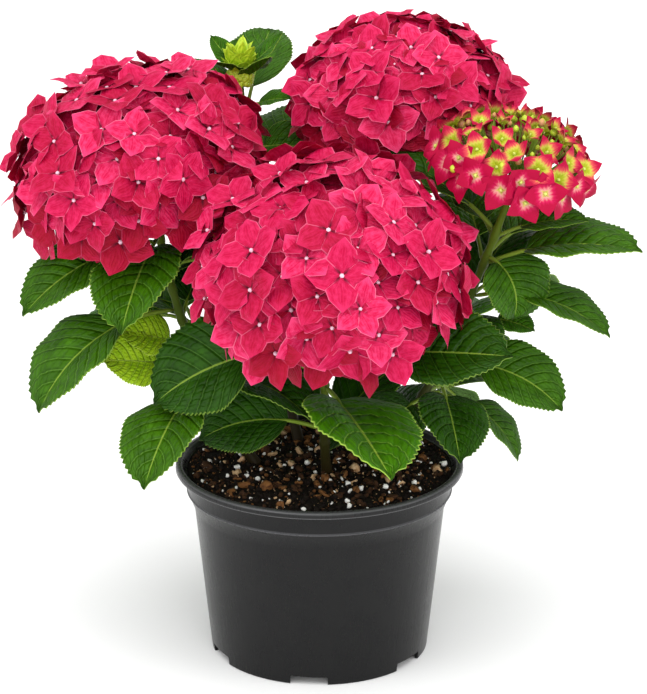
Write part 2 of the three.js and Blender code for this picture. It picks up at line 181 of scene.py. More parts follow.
# The table lies a hair under the pot's foot, so that no face of theirs is shared.
bpy.ops.mesh.primitive_plane_add(size=14, location=(0, 0, -0.2 * MM))
floor = bpy.context.object
floor.name = "studio_floor"
white_paint, tree, shader = new_finish("matt_white_paint", Roughness=0.9, Specular_IOR_Level=0.2)
blotches = add(tree, "TexNoise", {"Scale": 3.0, "Detail": 2.0})["Fac"]
link(tree, shader, Base_Color=add(tree, "ValToRGB", {0: blotches}, stops=[(0, "#fafafa"), (1, "#fdfdfd")])[0])
floor.data.materials.append(white_paint)
floor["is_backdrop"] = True

# %% [markdown]
# ## Working in edit mode
# Pieces are modelled as by hand: a primitive is added, parts of it are selected by their place, and an
# operator is run on them. These helpers do the selecting, and finish a piece so that it belongs to the
# plant.

# %% Helpers for modelling
def pick(*objects):
    """Selects these objects alone. The first is the active one, on which operators act."""
    bpy.ops.object.select_all(action="DESELECT")
    for obj in objects:
        obj.select_set(True)
    bpy.context.view_layer.objects.active = objects[0]


def start(name, operator, **settings):
    """Adds a primitive with nothing else selected, and names it."""
    bpy.ops.object.select_all(action="DESELECT")
    operator(**settings)
    obj = bpy.context.object
    obj.name = obj.data.name = name
    return obj


def select_where(obj, wanted):
    """In edit mode, selects the vertices whose place in millimetres passes a test."""
    bpy.ops.object.mode_set(mode="EDIT")
    bpy.ops.mesh.select_mode(type="VERT")
    bpy.ops.mesh.select_all(action="DESELECT")
    points = bmesh.from_edit_mesh(obj.data)
    for vertex in points.verts:
        vertex.select = wanted(vertex.co / MM)
    points.select_flush(True)
    bmesh.update_edit_mesh(obj.data)


def close_shell():
    """Fills the selected ring, turns every face outwards and leaves edit mode."""
    bpy.ops.mesh.edge_face_add()
    bpy.ops.mesh.select_all(action="SELECT")
    bpy.ops.mesh.normals_make_consistent(inside=False)
    bpy.ops.object.mode_set(mode="OBJECT")


def apply_modifier(obj, kind, **settings):
    """Gives a piece a modifier and applies it at once."""
    pick(obj)
    modifier = obj.modifiers.new(kind.lower(), kind)
    for name, value in settings.items():
        setattr(modifier, name, value)
    bpy.ops.object.modifier_apply(modifier=modifier.name)


def join_objects(*objects):
    """Joins objects into the first of them."""
    pick(*objects)
    bpy.ops.object.join()
    return objects[0]


def belongs(obj, slot, *nodes):
    """Every piece of this plant rides on its one body. It stands for the nodes named."""
    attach(obj, "root")
    if nodes:
        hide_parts(*nodes)
    print(f"{obj.name}: {len(obj.data.polygons)} faces")


print("one millimetre is", MM, "of Blender's units")

# %% [markdown]
# ## The pot
# A nursery pot is injection moulded in thin polypropylene: a tapered wall that widens to a collar with a
# fine rib at its foot, and a lip that stiffens the mouth. A drawn profile could be spun round, but here a
# circle is extruded and scaled ring by ring, because each ring is then one line of a list that reads like
# a drawing. The last ring is filled, so that the shell is closed before anything is cut from it.

# %% Pot wall
POT_SIDES, WALL, FLOOR_RISE = 128, 1.8, 7
PAD, PAD_EDGE = 42, 45
# The radius and height of each ring, up the outside and down the inside, in millimetres.
outside = [
    (PAD, 0), (PAD_EDGE, FLOOR_RISE), (73, FLOOR_RISE), (73.5, 0.4), (73.9, 0), (75.5, 0), (76, 0.5),
    (77, 10), (80.2, 40), (84.2, 78), (87, 104.2), (87.4, 106), (91.2, 115.4), (91.9, 116.1), (92.4, 116.6),
    (92.4, 117.1), (91.9, 117.5), (91.9, 118.2), (92.7, 128.6), (93.3, 129.8), (94.6, 130.5), (98.6, 131.1),
    (99.6, 131.5), (100, 132.2), (99.9, 134.3), (99.5, 135.1), (98.8, 135.5), (96.5, 136), (95.9, 135.9),
    (95.5, 135.5),
]
inside = [
    (94.9, 134.6), (91.6, 130.4), (91, 128.6), (90.2, 117), (85.3, 105), (74.6, 10), (73, FLOOR_RISE + WALL),
    (PAD_EDGE, FLOOR_RISE + WALL), (PAD, WALL),
]

pot = start(
    "pot_shell", bpy.ops.mesh.primitive_circle_add, vertices=POT_SIDES, radius=PAD * MM, fill_type="NGON"
)
select_where(pot, lambda p: True)
ring = (PAD, 0)
for radius, height in outside[1:] + inside:
    bpy.ops.mesh.extrude_edges_move(TRANSFORM_OT_translate={"value": (0, 0, (height - ring[1]) * MM)})
    grow = radius / ring[0]
    bpy.ops.transform.resize(value=(grow, grow, 1), center_override=(0, 0, height * MM))
    ring = (radius, height)
close_shell()
print("rings of the pot:", len(outside) + len(inside))

# %% [markdown]
# Six notches in the foot let water run out from under the pot, with a round drain hole behind each. On the
# real pot the mould leaves them open. Rounded blocks and rods are the shortest way to the same gaps: they
# are set round the foot, joined, and taken away with a Boolean modifier.

# %% Notches and drain holes
NOTCHES, FRONT_NOTCH = 6, math.radians(264.5)
NOTCH_RING, NOTCH_SIZE, NOTCH_ROUNDING = 76, Vector((16, 26, 12)), 1.2
HOLE_RING, HOLE_RADIUS, HOLE_DEPTH = 63, 5, 8
through_floor = Vector((0, 0, FLOOR_RISE + WALL / 2)) * MM
cutters = []
for i in range(NOTCHES):
    turn = FRONT_NOTCH + math.tau * i / NOTCHES
    toward = Vector((math.cos(turn), math.sin(turn), 0)) * MM
    block = {"size": 1, "scale": NOTCH_SIZE * MM, "rotation": (0, 0, turn), "location": toward * NOTCH_RING}
    cutters.append(start("notch", bpy.ops.mesh.primitive_cube_add, **block))
    apply_modifier(cutters[-1], "BEVEL", width=NOTCH_ROUNDING * MM, segments=3)
    hole = toward * HOLE_RING + through_floor
    rod = {"radius": HOLE_RADIUS * MM, "depth": HOLE_DEPTH * MM, "location": hole}
    cutters.append(start("drain_hole", bpy.ops.mesh.primitive_cylinder_add, vertices=24, **rod))
cutter = join_objects(*cutters)
apply_modifier(pot, "BOOLEAN", object=cutter, operation="DIFFERENCE", solver="EXACT")
bpy.data.objects.remove(cutter)
pick(pot)
bpy.ops.object.shade_smooth_by_angle(angle=math.radians(38))
print("pot faces after cutting:", len(pot.data.polygons))

# %% [markdown]
# Moulded black polypropylene is a little glossy, with faint upright draw marks from the mould and dull
# scuffs. The marks are a noise that is stretched tall, 3 mm wide across the wall, and they only nudge the
# roughness and the bump. The scuffs make the plastic a shade paler in patches. The rib and both edges of
# the lip carry painted highlights: a colour ramp that reads the height adds a band of paler grey at each,
# where the edges would catch the light.

# %% Finish of the pot
pot_plastic, tree, shader = new_finish("moulded_black_polypropylene", IOR=1.49, Specular_IOR_Level=0.22)
place = add(tree, "TexCoord")["Object"]
# Scales are one over a size in metres: draw marks 3 mm wide and 110 mm tall, scuffs 17 mm, grain 0.6 mm.
upright = add(tree, "Mapping", {"Vector": place, "Scale": (330, 330, 9)})[0]
draw_marks = add(tree, "TexNoise", {"Vector": upright, "Scale": 1.0, "Detail": 3.0})["Fac"]
scuffs = add(tree, "TexNoise", {"Vector": place, "Scale": 60.0, "Detail": 6.0, "Roughness": 0.65})["Fac"]
grain = add(tree, "TexNoise", {"Vector": place, "Scale": 1800.0, "Detail": 2.0})["Fac"]
black = add(tree, "ValToRGB", {0: scuffs}, stops=[(0.35, "#0d0d0e"), (0.75, "#121212")])[0]
# Painted highlights: the rib and both edges of the lip get bands of paler grey where they would catch the
# light.
HIGHLIGHT_FROM, HIGHLIGHT_TO = 110, 137
painted_highlight_marks = [
    (110, "#000000"), (137, "#0c0c0c"), (115.8, "#000000"), (116.5, "#464648"), (117.4, "#464648"),
    (118.1, "#000000"), (130.4, "#000000"), (131.2, "#686869"), (132.4, "#101010"), (134.3, "#101010"),
    (135.2, "#5a5a5c"), (136.1, "#0c0c0c"),
]
height = add(tree, "SeparateXYZ", {0: place})[2]
highlight_reach = {"Value": height, "From Min": HIGHLIGHT_FROM * MM, "From Max": HIGHLIGHT_TO * MM}
share_up = add(tree, "MapRange", highlight_reach)[0]
highlight_stops = [((mark - HIGHLIGHT_FROM) / (HIGHLIGHT_TO - HIGHLIGHT_FROM), grey) for mark, grey in painted_highlight_marks]
painted_highlights = add(tree, "ValToRGB", {0: share_up}, stops=highlight_stops)[0]
scuffs_and_painted_highlights = add(tree, "MixRGB", {"Fac": 1.0, "Color1": black, "Color2": painted_highlights}, blend_type="ADD")[0]
dull = add(tree, "Math", {0: draw_marks, 1: 0.12, 2: 0.16}, operation="MULTIPLY_ADD")[0]
rough = add(tree, "Math", {0: scuffs, 1: 0.12, 2: dull}, operation="MULTIPLY_ADD")[0]
marks = add(tree, "Bump", {"Height": draw_marks, "Strength": 0.25, "Distance": 0.4 * MM})[0]
relief = add(tree, "Bump", {"Height": grain, "Strength": 0.12, "Distance": 0.2 * MM, "Normal": marks})[0]
link(tree, shader, Base_Color=scuffs_and_painted_highlights, Roughness=rough, Normal=relief)
pot.data.materials.append(pot_plastic)
belongs(pot, "pot_plastic", "pot")

# %% [markdown]
# ## Shapes as arrays
# Leaves, sepals, crumbs and stalks come by the hundred. Each kind is modelled once and then read into
# plain arrays, which numpy copies, bends and sets in place far faster than operators could. All copies of
# a kind on one shoot are joined in one mesh. Copies with the same finish share one cell of the bake map,
# so that an exported texture spends its pixels on one leaf and not on sixty.

# %% Helpers for joined copies
CELL_MARGIN = 0.03


def arrays_of(obj):
    """A modelled shape as arrays in millimetres, with its first UV map. The model itself is removed."""

    def read(items, what, width=1, kind=int):
        values = np.empty(len(items) * width, kind)
        items.foreach_get(what, values)
        return values.reshape(-1, width) if width > 1 else values

    mesh = obj.data
    shape = {
        "points": read(mesh.vertices, "co", 3, float) / MM,
        "corners": read(mesh.loops, "vertex_index"),
        "sides": read(mesh.polygons, "loop_total"),
        "slots": read(mesh.polygons, "material_index"),
        "uv": read(mesh.uv_layers[0].data, "uv", 2, float),
    }
    bpy.data.objects.remove(obj)
    return shape


def joined(name, copies, finishes, map_name):
    """One object from many copies, each a shape, its points in millimetres and its faces' slots."""
    first = np.cumsum([0] + [len(points) for _, points, _ in copies[:-1]])
    points = np.concatenate([points for _, points, _ in copies]) * MM
    corners = np.concatenate([shape["corners"] + start for (shape, _, _), start in zip(copies, first)])
    sides = np.concatenate([shape["sides"] for shape, _, _ in copies])
    slots = np.concatenate([slots + np.zeros(len(shape["sides"]), int) for shape, _, slots in copies])
    uv = np.concatenate([shape["uv"] for shape, _, _ in copies])

    mesh = bpy.data.meshes.new(name)
    mesh.vertices.add(len(points))
    mesh.loops.add(len(corners))
    mesh.polygons.add(len(sides))
    mesh.vertices.foreach_set("co", points.ravel())
    mesh.loops.foreach_set("vertex_index", corners)
    mesh.polygons.foreach_set("loop_start", np.cumsum(sides) - sides)
    mesh.polygons.foreach_set("material_index", slots)
    mesh.polygons.foreach_set("use_smooth", np.ones(len(sides), bool))

    across = math.ceil(math.sqrt(len(finishes)))
    cell = np.repeat(slots, sides)
    corner = np.stack([cell % across, cell // across], axis=1)
    maps = {map_name: uv, "OFBake": (corner + CELL_MARGIN + (1 - 2 * CELL_MARGIN) * uv) / across}
    for label, values in maps.items():
        mesh.uv_layers.new(name=label).data.foreach_set("uv", values.ravel())
    for finish in finishes:
        mesh.materials.append(finish)
    mesh.update()
    mesh.validate()
    obj = bpy.data.objects.new(name, mesh)
    scene.collection.objects.link(obj)
    return obj


def chance(seed):
    """The same share, from 0 to 1, for the same seed."""
    wave = math.sin(seed * 12.9898 + 4.1414) * 43758.5453
    return wave - math.floor(wave)


def unit(v):
    """The same directions with a length of one."""
    return v / np.linalg.norm(v, axis=-1, keepdims=True)


print("a chance:", round(chance(7), 3))

# %% [markdown]
# ## Potting mix
# The mix is dark peat with composted bark and white perlite. Its bed is a disc that climbs to 134 mm and
# falls away a little at the wall. It could be one noisy surface, but seen close each crumb casts its own
# shadow, so the bed carries over three thousand separate crumbs, most of them sunk to about half.

# %% Bed of the potting mix
SOIL_TOP, SOIL_EDGE, EDGE_DROP, FLAT = 134, 92, 1.5, 66
BED_RINGS, RING_WIDTH, BED_DEPTH = 14, 6, 14
CRUMB_ROOM, LUMP = 0.6, 0.7
bed = start(
    "potting_mix_bed", bpy.ops.mesh.primitive_circle_add, vertices=96, radius=SOIL_EDGE * MM, fill_type="NGON"
)
select_where(bed, lambda p: True)
for _ in range(BED_RINGS):
    bpy.ops.mesh.inset(thickness=RING_WIDTH * MM)
bpy.ops.mesh.poke()
select_where(bed, lambda p: p.xy.length > SOIL_EDGE - 1)
bpy.ops.mesh.select_mode(type="EDGE")
bpy.ops.mesh.extrude_edges_move(TRANSFORM_OT_translate={"value": (0, 0, -BED_DEPTH * MM)})
bpy.ops.transform.resize(value=(0.97, 0.97, 1))
close_shell()


def soil_height(x, y):
    """Height of the bed: level in the middle, lower at the wall, and lumpy."""
    fall = np.clip((np.hypot(x, y) - FLAT) / (SOIL_EDGE - FLAT), 0, 1)
    lumps = LUMP * np.sin(x / 5.1 + 1.3 * np.sin(y / 7.3)) * np.cos(y / 4.7 + 0.8 * np.sin(x / 9.1))
    return SOIL_TOP - CRUMB_ROOM - EDGE_DROP * fall**2 + lumps


for vertex in bed.data.vertices:
    x, y = vertex.co.x / MM, vertex.co.y / MM
    sunk = BED_DEPTH if vertex.co.z < -1 * MM else 0
    vertex.co.z = (soil_height(x, y) - sunk) * MM
for polygon in bed.data.polygons:
    polygon.use_smooth = True
print("bed faces:", len(bed.data.polygons))

# %% [markdown]
# Wet peat is almost black and soaks up light, so it is rough with hardly any gloss. Its grains are 1 to 2 mm
# across. Crumbs of peat and bark come in four browns, each a finish of its own, because a joined mesh is
# baked through one shared cell and can't hold a colour for each crumb. A crumb's own map counts as 8 mm
# across, whatever the crumb's size, so that the grain stays coarse enough to show.

# %% Finishes of the potting mix
CRUMB_MAP_MM = 8


def crumbly(name, dark, light, grain_mm, roughness, map_name=None):
    """Peat, bark or perlite, drawn from the crumbs' UV map where one is named, and else from the place."""
    made, tree, shader = new_finish(name, IOR=1.5, Specular_IOR_Level=0.15)
    if map_name:
        place, span_mm = add(tree, "UVMap", uv_map=map_name)[0], CRUMB_MAP_MM
    else:
        place, span_mm = add(tree, "TexCoord")["Object"], 1 / MM
    noise = {"Vector": place, "Scale": span_mm / grain_mm, "Detail": 4.0, "Roughness": 0.7}
    grains = add(tree, "TexNoise", noise)["Fac"]
    colour = add(tree, "ValToRGB", {0: grains}, stops=[(0.35, dark), (0.68, light)])[0]
    surface(tree, shader, colour, rough=(grains, 0.2, roughness), relief=(grains, 0.8, 0.6))
    return made


bed.data.materials.append(crumbly("damp_peat", "#030201", "#1a110a", 1.6, 0.8))
belongs(bed, "potting_mix", "potting_mix")
crumb_finishes = [
    crumbly("peat_crumb", "#060403", "#1f140c", 1.5, 0.7, "Crumb"),
    crumbly("dark_bark", "#20130a", "#4c301b", 1.5, 0.65, "Crumb"),
    crumbly("brown_bark", "#48280f", "#8c5f36", 2.0, 0.6, "Crumb"),
    crumbly("tan_bark", "#9c7148", "#e3c49c", 2.0, 0.6, "Crumb"),
]
perlite = crumbly("expanded_perlite", "#e8e4dc", "#ffffff", 1.2, 0.7, "Crumb")
print("crumb finishes:", [m.name for m in crumb_finishes])

# %% [markdown]
# One crumb is a low ball that is dented in edit mode. Turned, stretched and flattened at random,
# it serves for peat, bark and perlite alike. A seeded generator deals out the same crumbs on every run.

# %% One crumb
dents = (
    (lambda p: p.x > 0.55, (-0.25, 0, 0.1)),
    (lambda p: p.y < -0.6, (0.15, 0.3, 0)),
    (lambda p: p.z > 0.6 and p.x < 0.2, (0, 0, -0.35)),
    (lambda p: p.y > 0.5 and p.x < 0, (-0.2, -0.1, 0)),
)
crumb = start("crumb", bpy.ops.mesh.primitive_ico_sphere_add, subdivisions=2, radius=1 * MM)
for dented, push in dents:
    select_where(crumb, dented)
    bpy.ops.transform.translate(value=Vector(push) * MM)
bpy.ops.object.mode_set(mode="OBJECT")
apply_modifier(crumb, "DECIMATE", ratio=0.45)
crumb = arrays_of(crumb)
print("crumb faces:", len(crumb["sides"]))

# %% Crumbs, bark and perlite
SCATTER_RADIUS, WALL_REACH = 91.5, 95
dice = np.random.default_rng(41)


def scattered(count, sizes, flat, tones, stands_out):
    """Copies of the crumb, strewn evenly over the bed. stands_out is how far the middle is above the bed."""
    copies = []
    for _ in range(count):
        reach, turn = SCATTER_RADIUS * math.sqrt(dice.random()), math.tau * dice.random()
        size = sizes[0] + (sizes[1] - sizes[0]) * dice.random() ** 2.2
        stretch = np.array([1, 0.5 + 0.5 * dice.random(), flat * (0.7 + 0.6 * dice.random())]) * size
        axes, _ = np.linalg.qr(dice.normal(size=(3, 3)) * [1, 1, 0.35] + [[1, 0, 0], [0, 1, 0], [0, 0, 1.5]])
        axes *= np.sign(np.linalg.det(axes))
        cos, sin = math.cos(7 * turn), math.sin(7 * turn)
        spin = np.array([[cos, -sin, 0], [sin, cos, 0], [0, 0, 1]])
        # Large crumbs stay further from the wall.
        reach *= 1 - size / WALL_REACH
        x, y = reach * math.cos(turn), reach * math.sin(turn)
        middle = np.array([x, y, soil_height(x, y) + stands_out * stretch[2]])
        points = (crumb["points"] * stretch) @ axes.T @ spin.T + middle
        copies.append((crumb, points, int(dice.choice(tones))))
    return copies


crumbs = scattered(1900, (0.8, 2.8), 0.8, [0, 0, 0, 0, 1], 0.4)
crumbs += scattered(420, (1.2, 5.6), 0.42, [1, 1, 2, 2, 3], 0.5)
crumbs += scattered(700, (0.35, 0.9), 0.6, [2, 3, 3], 1.6)
belongs(joined("bark_and_peat_crumbs", crumbs, crumb_finishes, "Crumb"), "potting_mix")
grains = scattered(210, (0.6, 2.7), 0.85, [0], 0.8)
belongs(joined("perlite_grains", grains, [perlite], "Crumb"), "potting_mix")

# %% [markdown]
# ## Stems
# A hydrangea stem is green and smooth when young, and turns brown and corky from the foot up, with small
# raised pores. It swells at each pair of leaves. Stems and leaf stalks are both a tube, so one tube is
# modelled from a grid that is rolled up and pinched shut at its ends. Its UV map runs round and along it.

# %% The rolled tube
def rolled_tube(sides, rings):
    """A closed tube of radius 1 mm, from 0 to 1 mm along Z, as arrays."""
    tube = start("tube", bpy.ops.mesh.primitive_grid_add, x_subdivisions=sides, y_subdivisions=rings, size=1)
    for vertex in tube.data.vertices:
        turn, along = math.tau * (vertex.co.x + 0.5), min(max(vertex.co.y + 0.5, 0), 1)
        at_end = along < 0.5 / rings or along > 1 - 0.5 / rings
        radius = 0 if at_end else 1
        vertex.co = Vector((radius * math.sin(turn), radius * math.cos(turn), along)) * MM
    bpy.ops.object.mode_set(mode="EDIT")
    bpy.ops.mesh.select_all(action="SELECT")
    bpy.ops.mesh.remove_doubles(threshold=0.001 * MM)
    bpy.ops.mesh.normals_make_consistent(inside=False)
    bpy.ops.object.mode_set(mode="OBJECT")
    return arrays_of(tube)


def run_along(shape, path, radius):
    """The tube's points on a path, which gives a centre and two cross directions for shares of its length."""
    x, y, along = shape["points"].T
    centre, across, third = path(along)
    return centre + (across * x[:, None] + third * y[:, None]) * radius(along)[:, None]


stem_tube, stalk_tube, thread_tube = rolled_tube(14, 90), rolled_tube(7, 14), rolled_tube(5, 5)
print("tube faces:", [len(t["sides"]) for t in (stem_tube, stalk_tube, thread_tube)])

# %% [markdown]
# ## The plan of the plant
# This table is the plant. Each shoot is a quadratic curve from its foot over a bend to its throat, where
# the flower's stalks begin. Each leaf row is: its place as a share of the curve, heading, rise, droop,
# reach, width, roll about the midrib, stalk as a share of the reach, tone, and the heading of its smaller
# twin. Tones are 0 deep, 1 mid, 2 fresh and 3 young yellow-green. Sizes are in millimetres and angles in
# degrees.

# %% Shoots and leaves
SHOOTS = {
    "front": ([5, -20], [0, -45, 200], [8, -72, 262], [
        (0.78, 336, 11, 8, 132, 62, 38, 0.42, 0), (0.8, 177, 6, 50, 127, 70, -50, 0.4, 0),
        (0.57, 288, 0, 14, 138, 78, -10, 0.2, 2, 95), (0.28, 170, 20, 57, 92, 52, -48, 0.28, 0),
        (0.2, 45, 45, 45, 105, 55, 0, 0.24, 0)]),
    "left": ([-45, 0], [-98, 0, 215], [-112, 29, 306], [
        (0.9, 202, 2, 50, 112, 52, -20, 0.32, 1), (0.92, 258, -4, 34, 110, 64, 10, 0.2, 1, 142),
        (0.64, 209, 8, 72, 129, 66, -8, 0.36, 1), (0.8, 0, 25, 65, 86, 44, 0, 0.24, 0, 150),
        (0.72, 90, 28, 65, 78, 42, 0, 0.24, 0), (0.41, 202, 16, 9, 73, 42, -50, 0.42, 3),
        (0.5, 195, 22, 15, 52, 40, -35, 0.3, 3), (0.36, 250, 6, 52, 122, 60, 9, 0.36, 1),
        (0.34, 315, 30, 60, 105, 55, 0, 0.24, 0), (0.6, 75, 45, 45, 65, 34, 0, 0.24, 0)]),
    "right": ([45, -5], [92, -10, 220], [126, -37, 338], [
        (0.86, 350, 32, 38, 66, 30, 17, 0.3, 1, 110), (0.77, 342, 30, 40, 112, 54, 12, 0.28, 1, 95),
        (0.8, 318, -4, 110, 54, 58, 10, 0.18, 1), (0.66, 342, 20, 62, 104, 42, 10, 0.35, 1, 50),
        (0.57, 346, 22, 49, 54, 24, 25, 0.5, 2), (0.41, 347, 16, 66, 95, 50, 36, 0.3, 1, 110),
        (0.38, 277, 7, 40, 113, 50, -12, 0.4, 0), (0.3, 347, 6, 80, 86, 34, 10, 0.4, 1, 60),
        (0.28, 240, 5, 30, 75, 44, -30, 0.2, 0), (0.6, 195, 25, 65, 100, 50, 0, 0.24, 0, 127),
        (0.8, 45, 35, 75, 104, 50, 0, 0.24, 1), (0.6, 60, 45, 45, 105, 55, 0, 0.24, 0),
        (0.6, 285, 15, 55, 65, 34, 0, 0.24, 0),
        (0.88, 150, 45, 45, 105, 55, 0, 0.24, 0)]),
    "back": ([22, 38], [40, 60, 240], [58, 88, 338], [
        (0.84, 195, 42, 55, 66, 36, -20, 0.25, 1), (0.7, 255, 45, 55, 74, 44, 0, 0.25, 1, 80),
        (0.54, 28, 22, 60, 112, 58, 0, 0.25, 1, 115), (0.3, 88, 22, 62, 118, 62, 0, 0.22, 0),
        (0.8, 15, 25, 65, 104, 52, 0, 0.24, 2), (0.6, 198, 15, 55, 84, 42, 0, 0.24, 0),
        (0.8, 120, 45, 45, 85, 44, 0, 0.24, 1)]),
    "bud": ([-15, 45], [-45, 85, 250], [-56, 105, 383], [
        (0.91, 322, 37, 34, 47, 20, 26, 0.35, 2), (0.9, 180, 54, 30, 60, 26, -21, 0.27, 2),
        (0.87, 150, 52, 40, 62, 34, 0, 0.3, 2), (0.88, 80, 40, 30, 111, 48, 4, 0.31, 1),
        (0.8, 356, 30, 75, 64, 40, 40, 0.2, 2), (0.62, 60, 20, 60, 105, 56, 0, 0.22, 1, 165),
        (0.4, 110, 18, 60, 118, 60, 0, 0.22, 0), (0.8, 105, 15, 55, 104, 52, 0, 0.24, 1),
        (0.7, 285, 35, 75, 100, 50, 0, 0.24, 1), (0.6, 240, 30, 60, 105, 55, 0, 0.24, 0),
        (0.7, 60, 45, 45, 105, 55, 0, 0.24, 1)]),
    "side_back": ([-52, 40], [-75, 60, 160], [-90, 75, 215], [
        (0.97, 110, 25, 60, 95, 54, 0, 0.22, 2, 180), (0.5, 140, 22, 64, 74, 48, 0, 0.22, 1),
        (0.6, 75, 25, 65, 104, 52, 0, 0.24, 1), (0.26, 45, 25, 65, 86, 44, 0, 0.24, 0),
        (0.88, 140, 40, 45, 95, 46, 0, 0.24, 1), (0.6, 330, 40, 90, 105, 55, 0, 0.24, 0)]),
    "side_right": ([56, 34], [80, 50, 160], [92, 62, 206], [
        (0.97, 70, 30, 62, 95, 54, 0, 0.22, 2, 290), (0.5, 30, 22, 64, 100, 56, 0, 0.22, 1),
        (0.7, 90, 15, 55, 104, 52, 0, 0.24, 1), (0.26, 105, 25, 65, 86, 44, 0, 0.24, 0, 210)]),
}
print("shoots:", len(SHOOTS), "leaf rows:", sum(len(shoot[3]) for shoot in SHOOTS.values()))


# %% The shoots' curve
def shoot_curve(shoot, share):
    """Points and directions of a shoot at shares of its curve."""
    foot, bend, throat = (np.array(p, float) for p in (shoot[0] + [SOIL_TOP + 0.3], shoot[1], shoot[2]))
    t = np.asarray(share, float)[..., None]
    point = foot * (1 - t) ** 2 + bend * 2 * t * (1 - t) + throat * t**2
    s = np.maximum(t, 0)
    return point, unit((bend - foot) * (1 - s) + (throat - bend) * s)


print("the front shoot ends at", shoot_curve(SHOOTS["front"], 1)[0], "mm")

# %% [markdown]
# The stem's relief is in its mesh: shallow ridges that run up it, a cork of small bumps on the lower half,
# and a knuckle at each pair of leaves. The foot flares where it leaves the mix, and starts a little under
# it.

# %% Stems with bark relief
SUNK = 0.02
STEM_RADIUS, STEM_TAPER = 3.4, 1.0
KNUCKLE_RISE, KNUCKLE_LENGTH = 0.8, 0.014
FLARE, FLARE_LENGTH = 0.25, 0.035
RIDGES, RIDGE_DEPTH, CORK_DEPTH = 5, 0.03, 0.07


def make_stem(label, shoot, finish):
    """A dressed stem, which stands for the plain one."""
    pairs_at = sorted({row[0] for row in shoot[3]})

    def path(along):
        point, ahead = shoot_curve(shoot, along * (1 + SUNK) - SUNK)
        across = unit(np.array([1.0, 0, 0]) - ahead * ahead[..., :1])
        return point, across, np.cross(across, ahead)

    def radius(along):
        share = along * (1 + SUNK) - SUNK
        knuckles = sum(KNUCKLE_RISE * np.exp(-(((share - at) / KNUCKLE_LENGTH) ** 2)) for at in pairs_at)
        return (STEM_RADIUS - STEM_TAPER * share) * (1 + FLARE * np.exp(-share / FLARE_LENGTH)) + knuckles

    x, y, along = stem_tube["points"].T
    turn = np.arctan2(x, y)
    ridges = RIDGE_DEPTH * np.sin(RIDGES * turn + 9 * along)
    corky = CORK_DEPTH * np.clip(1.1 - 1.6 * along, 0, 1)
    cork = corky * np.sin(turn * 7 + 40 * np.sin(31 * along)) * np.sin(160 * along)
    centre = path(along)[0]
    smooth = run_along(stem_tube, path, radius)
    points = centre + (smooth - centre) * (1 + ridges + cork)[:, None]
    stem = joined(f"stem_{label}_bark", [(stem_tube, points, 0)], [finish], "Bark")
    belongs(stem, "green_stem", f"stem_{label}")


# %% [markdown]
# Stem skin goes from brown cork at the foot to fresh green at the throat, so its colour follows the UV
# map's length. The browns and greens are painted darker than the stem's own, most of all low down, as
# painted shade under the leaves. Pores are 1 mm specks, and fine lines run along it. The skin is waxy,
# with a soft shine.

# %% Finish of the stems
green_bark, tree, shader = new_finish("green_stem_turning_woody", IOR=1.45, Specular_IOR_Level=0.15)
skin = add(tree, "UVMap", uv_map="Bark")[0]
length = add(tree, "SeparateXYZ", {0: skin})[1]
# Painted shade: the colours up the stem, darkest at the foot, are darker than the bark's own, for the shade
# under the leaves.
ages_and_painted_shade = [(0.0, "#241809"), (1.0, "#5c7018"), (0.3, "#363814"), (0.6, "#4c5e16")]
age_and_painted_shade = add(tree, "ValToRGB", {0: length}, stops=ages_and_painted_shade)[0]
lines = add(tree, "Mapping", {"Vector": skin, "Scale": (26, 14, 1)})[0]
fibre = add(tree, "TexNoise", {"Vector": lines, "Scale": 1.0, "Detail": 4.0})["Fac"]
dots = add(tree, "Mapping", {"Vector": skin, "Scale": (12, 90, 1)})[0]
pores = add(tree, "TexVoronoi", {"Vector": dots, "Scale": 1.0})["Distance"]
speck_range = {"Value": pores, "From Min": 0.12, "From Max": 0.22, "To Min": 0.55, "To Max": 0.0}
specks = add(tree, "MapRange", speck_range)[0]
olive_fibres = {"Fac": fibre, "Color1": age_and_painted_shade, "Color2": "#4f5a24"}
streaked = add(tree, "MixRGB", olive_fibres, blend_type="MULTIPLY")[0]
marked = add(tree, "MixRGB", {"Fac": specks, "Color1": age_and_painted_shade, "Color2": "#4b2e16"})[0]
bark_colour = add(tree, "MixRGB", {"Fac": 0.35, "Color1": marked, "Color2": streaked})[0]
surface(tree, shader, bark_colour, rough=(fibre, 0.25, 0.38), relief=(fibre, 0.5, 0.4))

for label, shoot in SHOOTS.items():
    make_stem(label, shoot, green_bark)

# %% [markdown]
# ## One leaf blade
# A hydrangea leaf is a broad oval with a drawn-out tip and a saw edge, and its skin is quilted between
# curved side veins. It is modelled flat, 100 mm by 50 mm: a grid whose rows are scaled to the leaf's
# outline, whose edge points are drawn out into teeth, and which is given its thickness by Solidify. The
# quilting is pressed in by moving each point by a rule, because eight pairs of veins in edit mode would be
# long work.

# %% The blade's outline
BLADE_LENGTH, BLADE_HALF, BLADE_ROWS, BLADE_COLUMNS = 100, 25, 46, 10


def blade_outline(t):
    """Half width as a share of the widest, full below the middle and drawn out to a point."""
    t = np.clip(t, 0, 1)
    return (t / 0.4) ** 0.57 * ((1 - t) / 0.6) ** 0.85 * (1 - 0.42 * np.exp(-(((t - 0.955) / 0.035) ** 2)))


grid = {"x_subdivisions": BLADE_COLUMNS, "y_subdivisions": BLADE_ROWS, "size": 1, "location": (0, 0.5, 0)}
blade = start("blade", bpy.ops.mesh.primitive_grid_add, **grid)
bpy.ops.object.transform_apply(location=True)
blade.scale = (2 * BLADE_HALF * MM, BLADE_LENGTH * MM, 1)
bpy.ops.object.transform_apply(scale=True)
for row in range(BLADE_ROWS + 1):
    t = row / BLADE_ROWS
    height = t * BLADE_LENGTH
    select_where(blade, lambda p: abs(p.y - height) < 0.3)
    width = max(float(blade_outline(t)), 0.02)
    bpy.ops.transform.resize(value=(width, 1, 1), center_override=(0, height * MM, 0))
print("blade points:", len(blade.data.vertices))

# %% Teeth
TOOTH_OUT, TOOTH_FORWARD = 1.0, 1.5
TOOTHED = (6, 95)


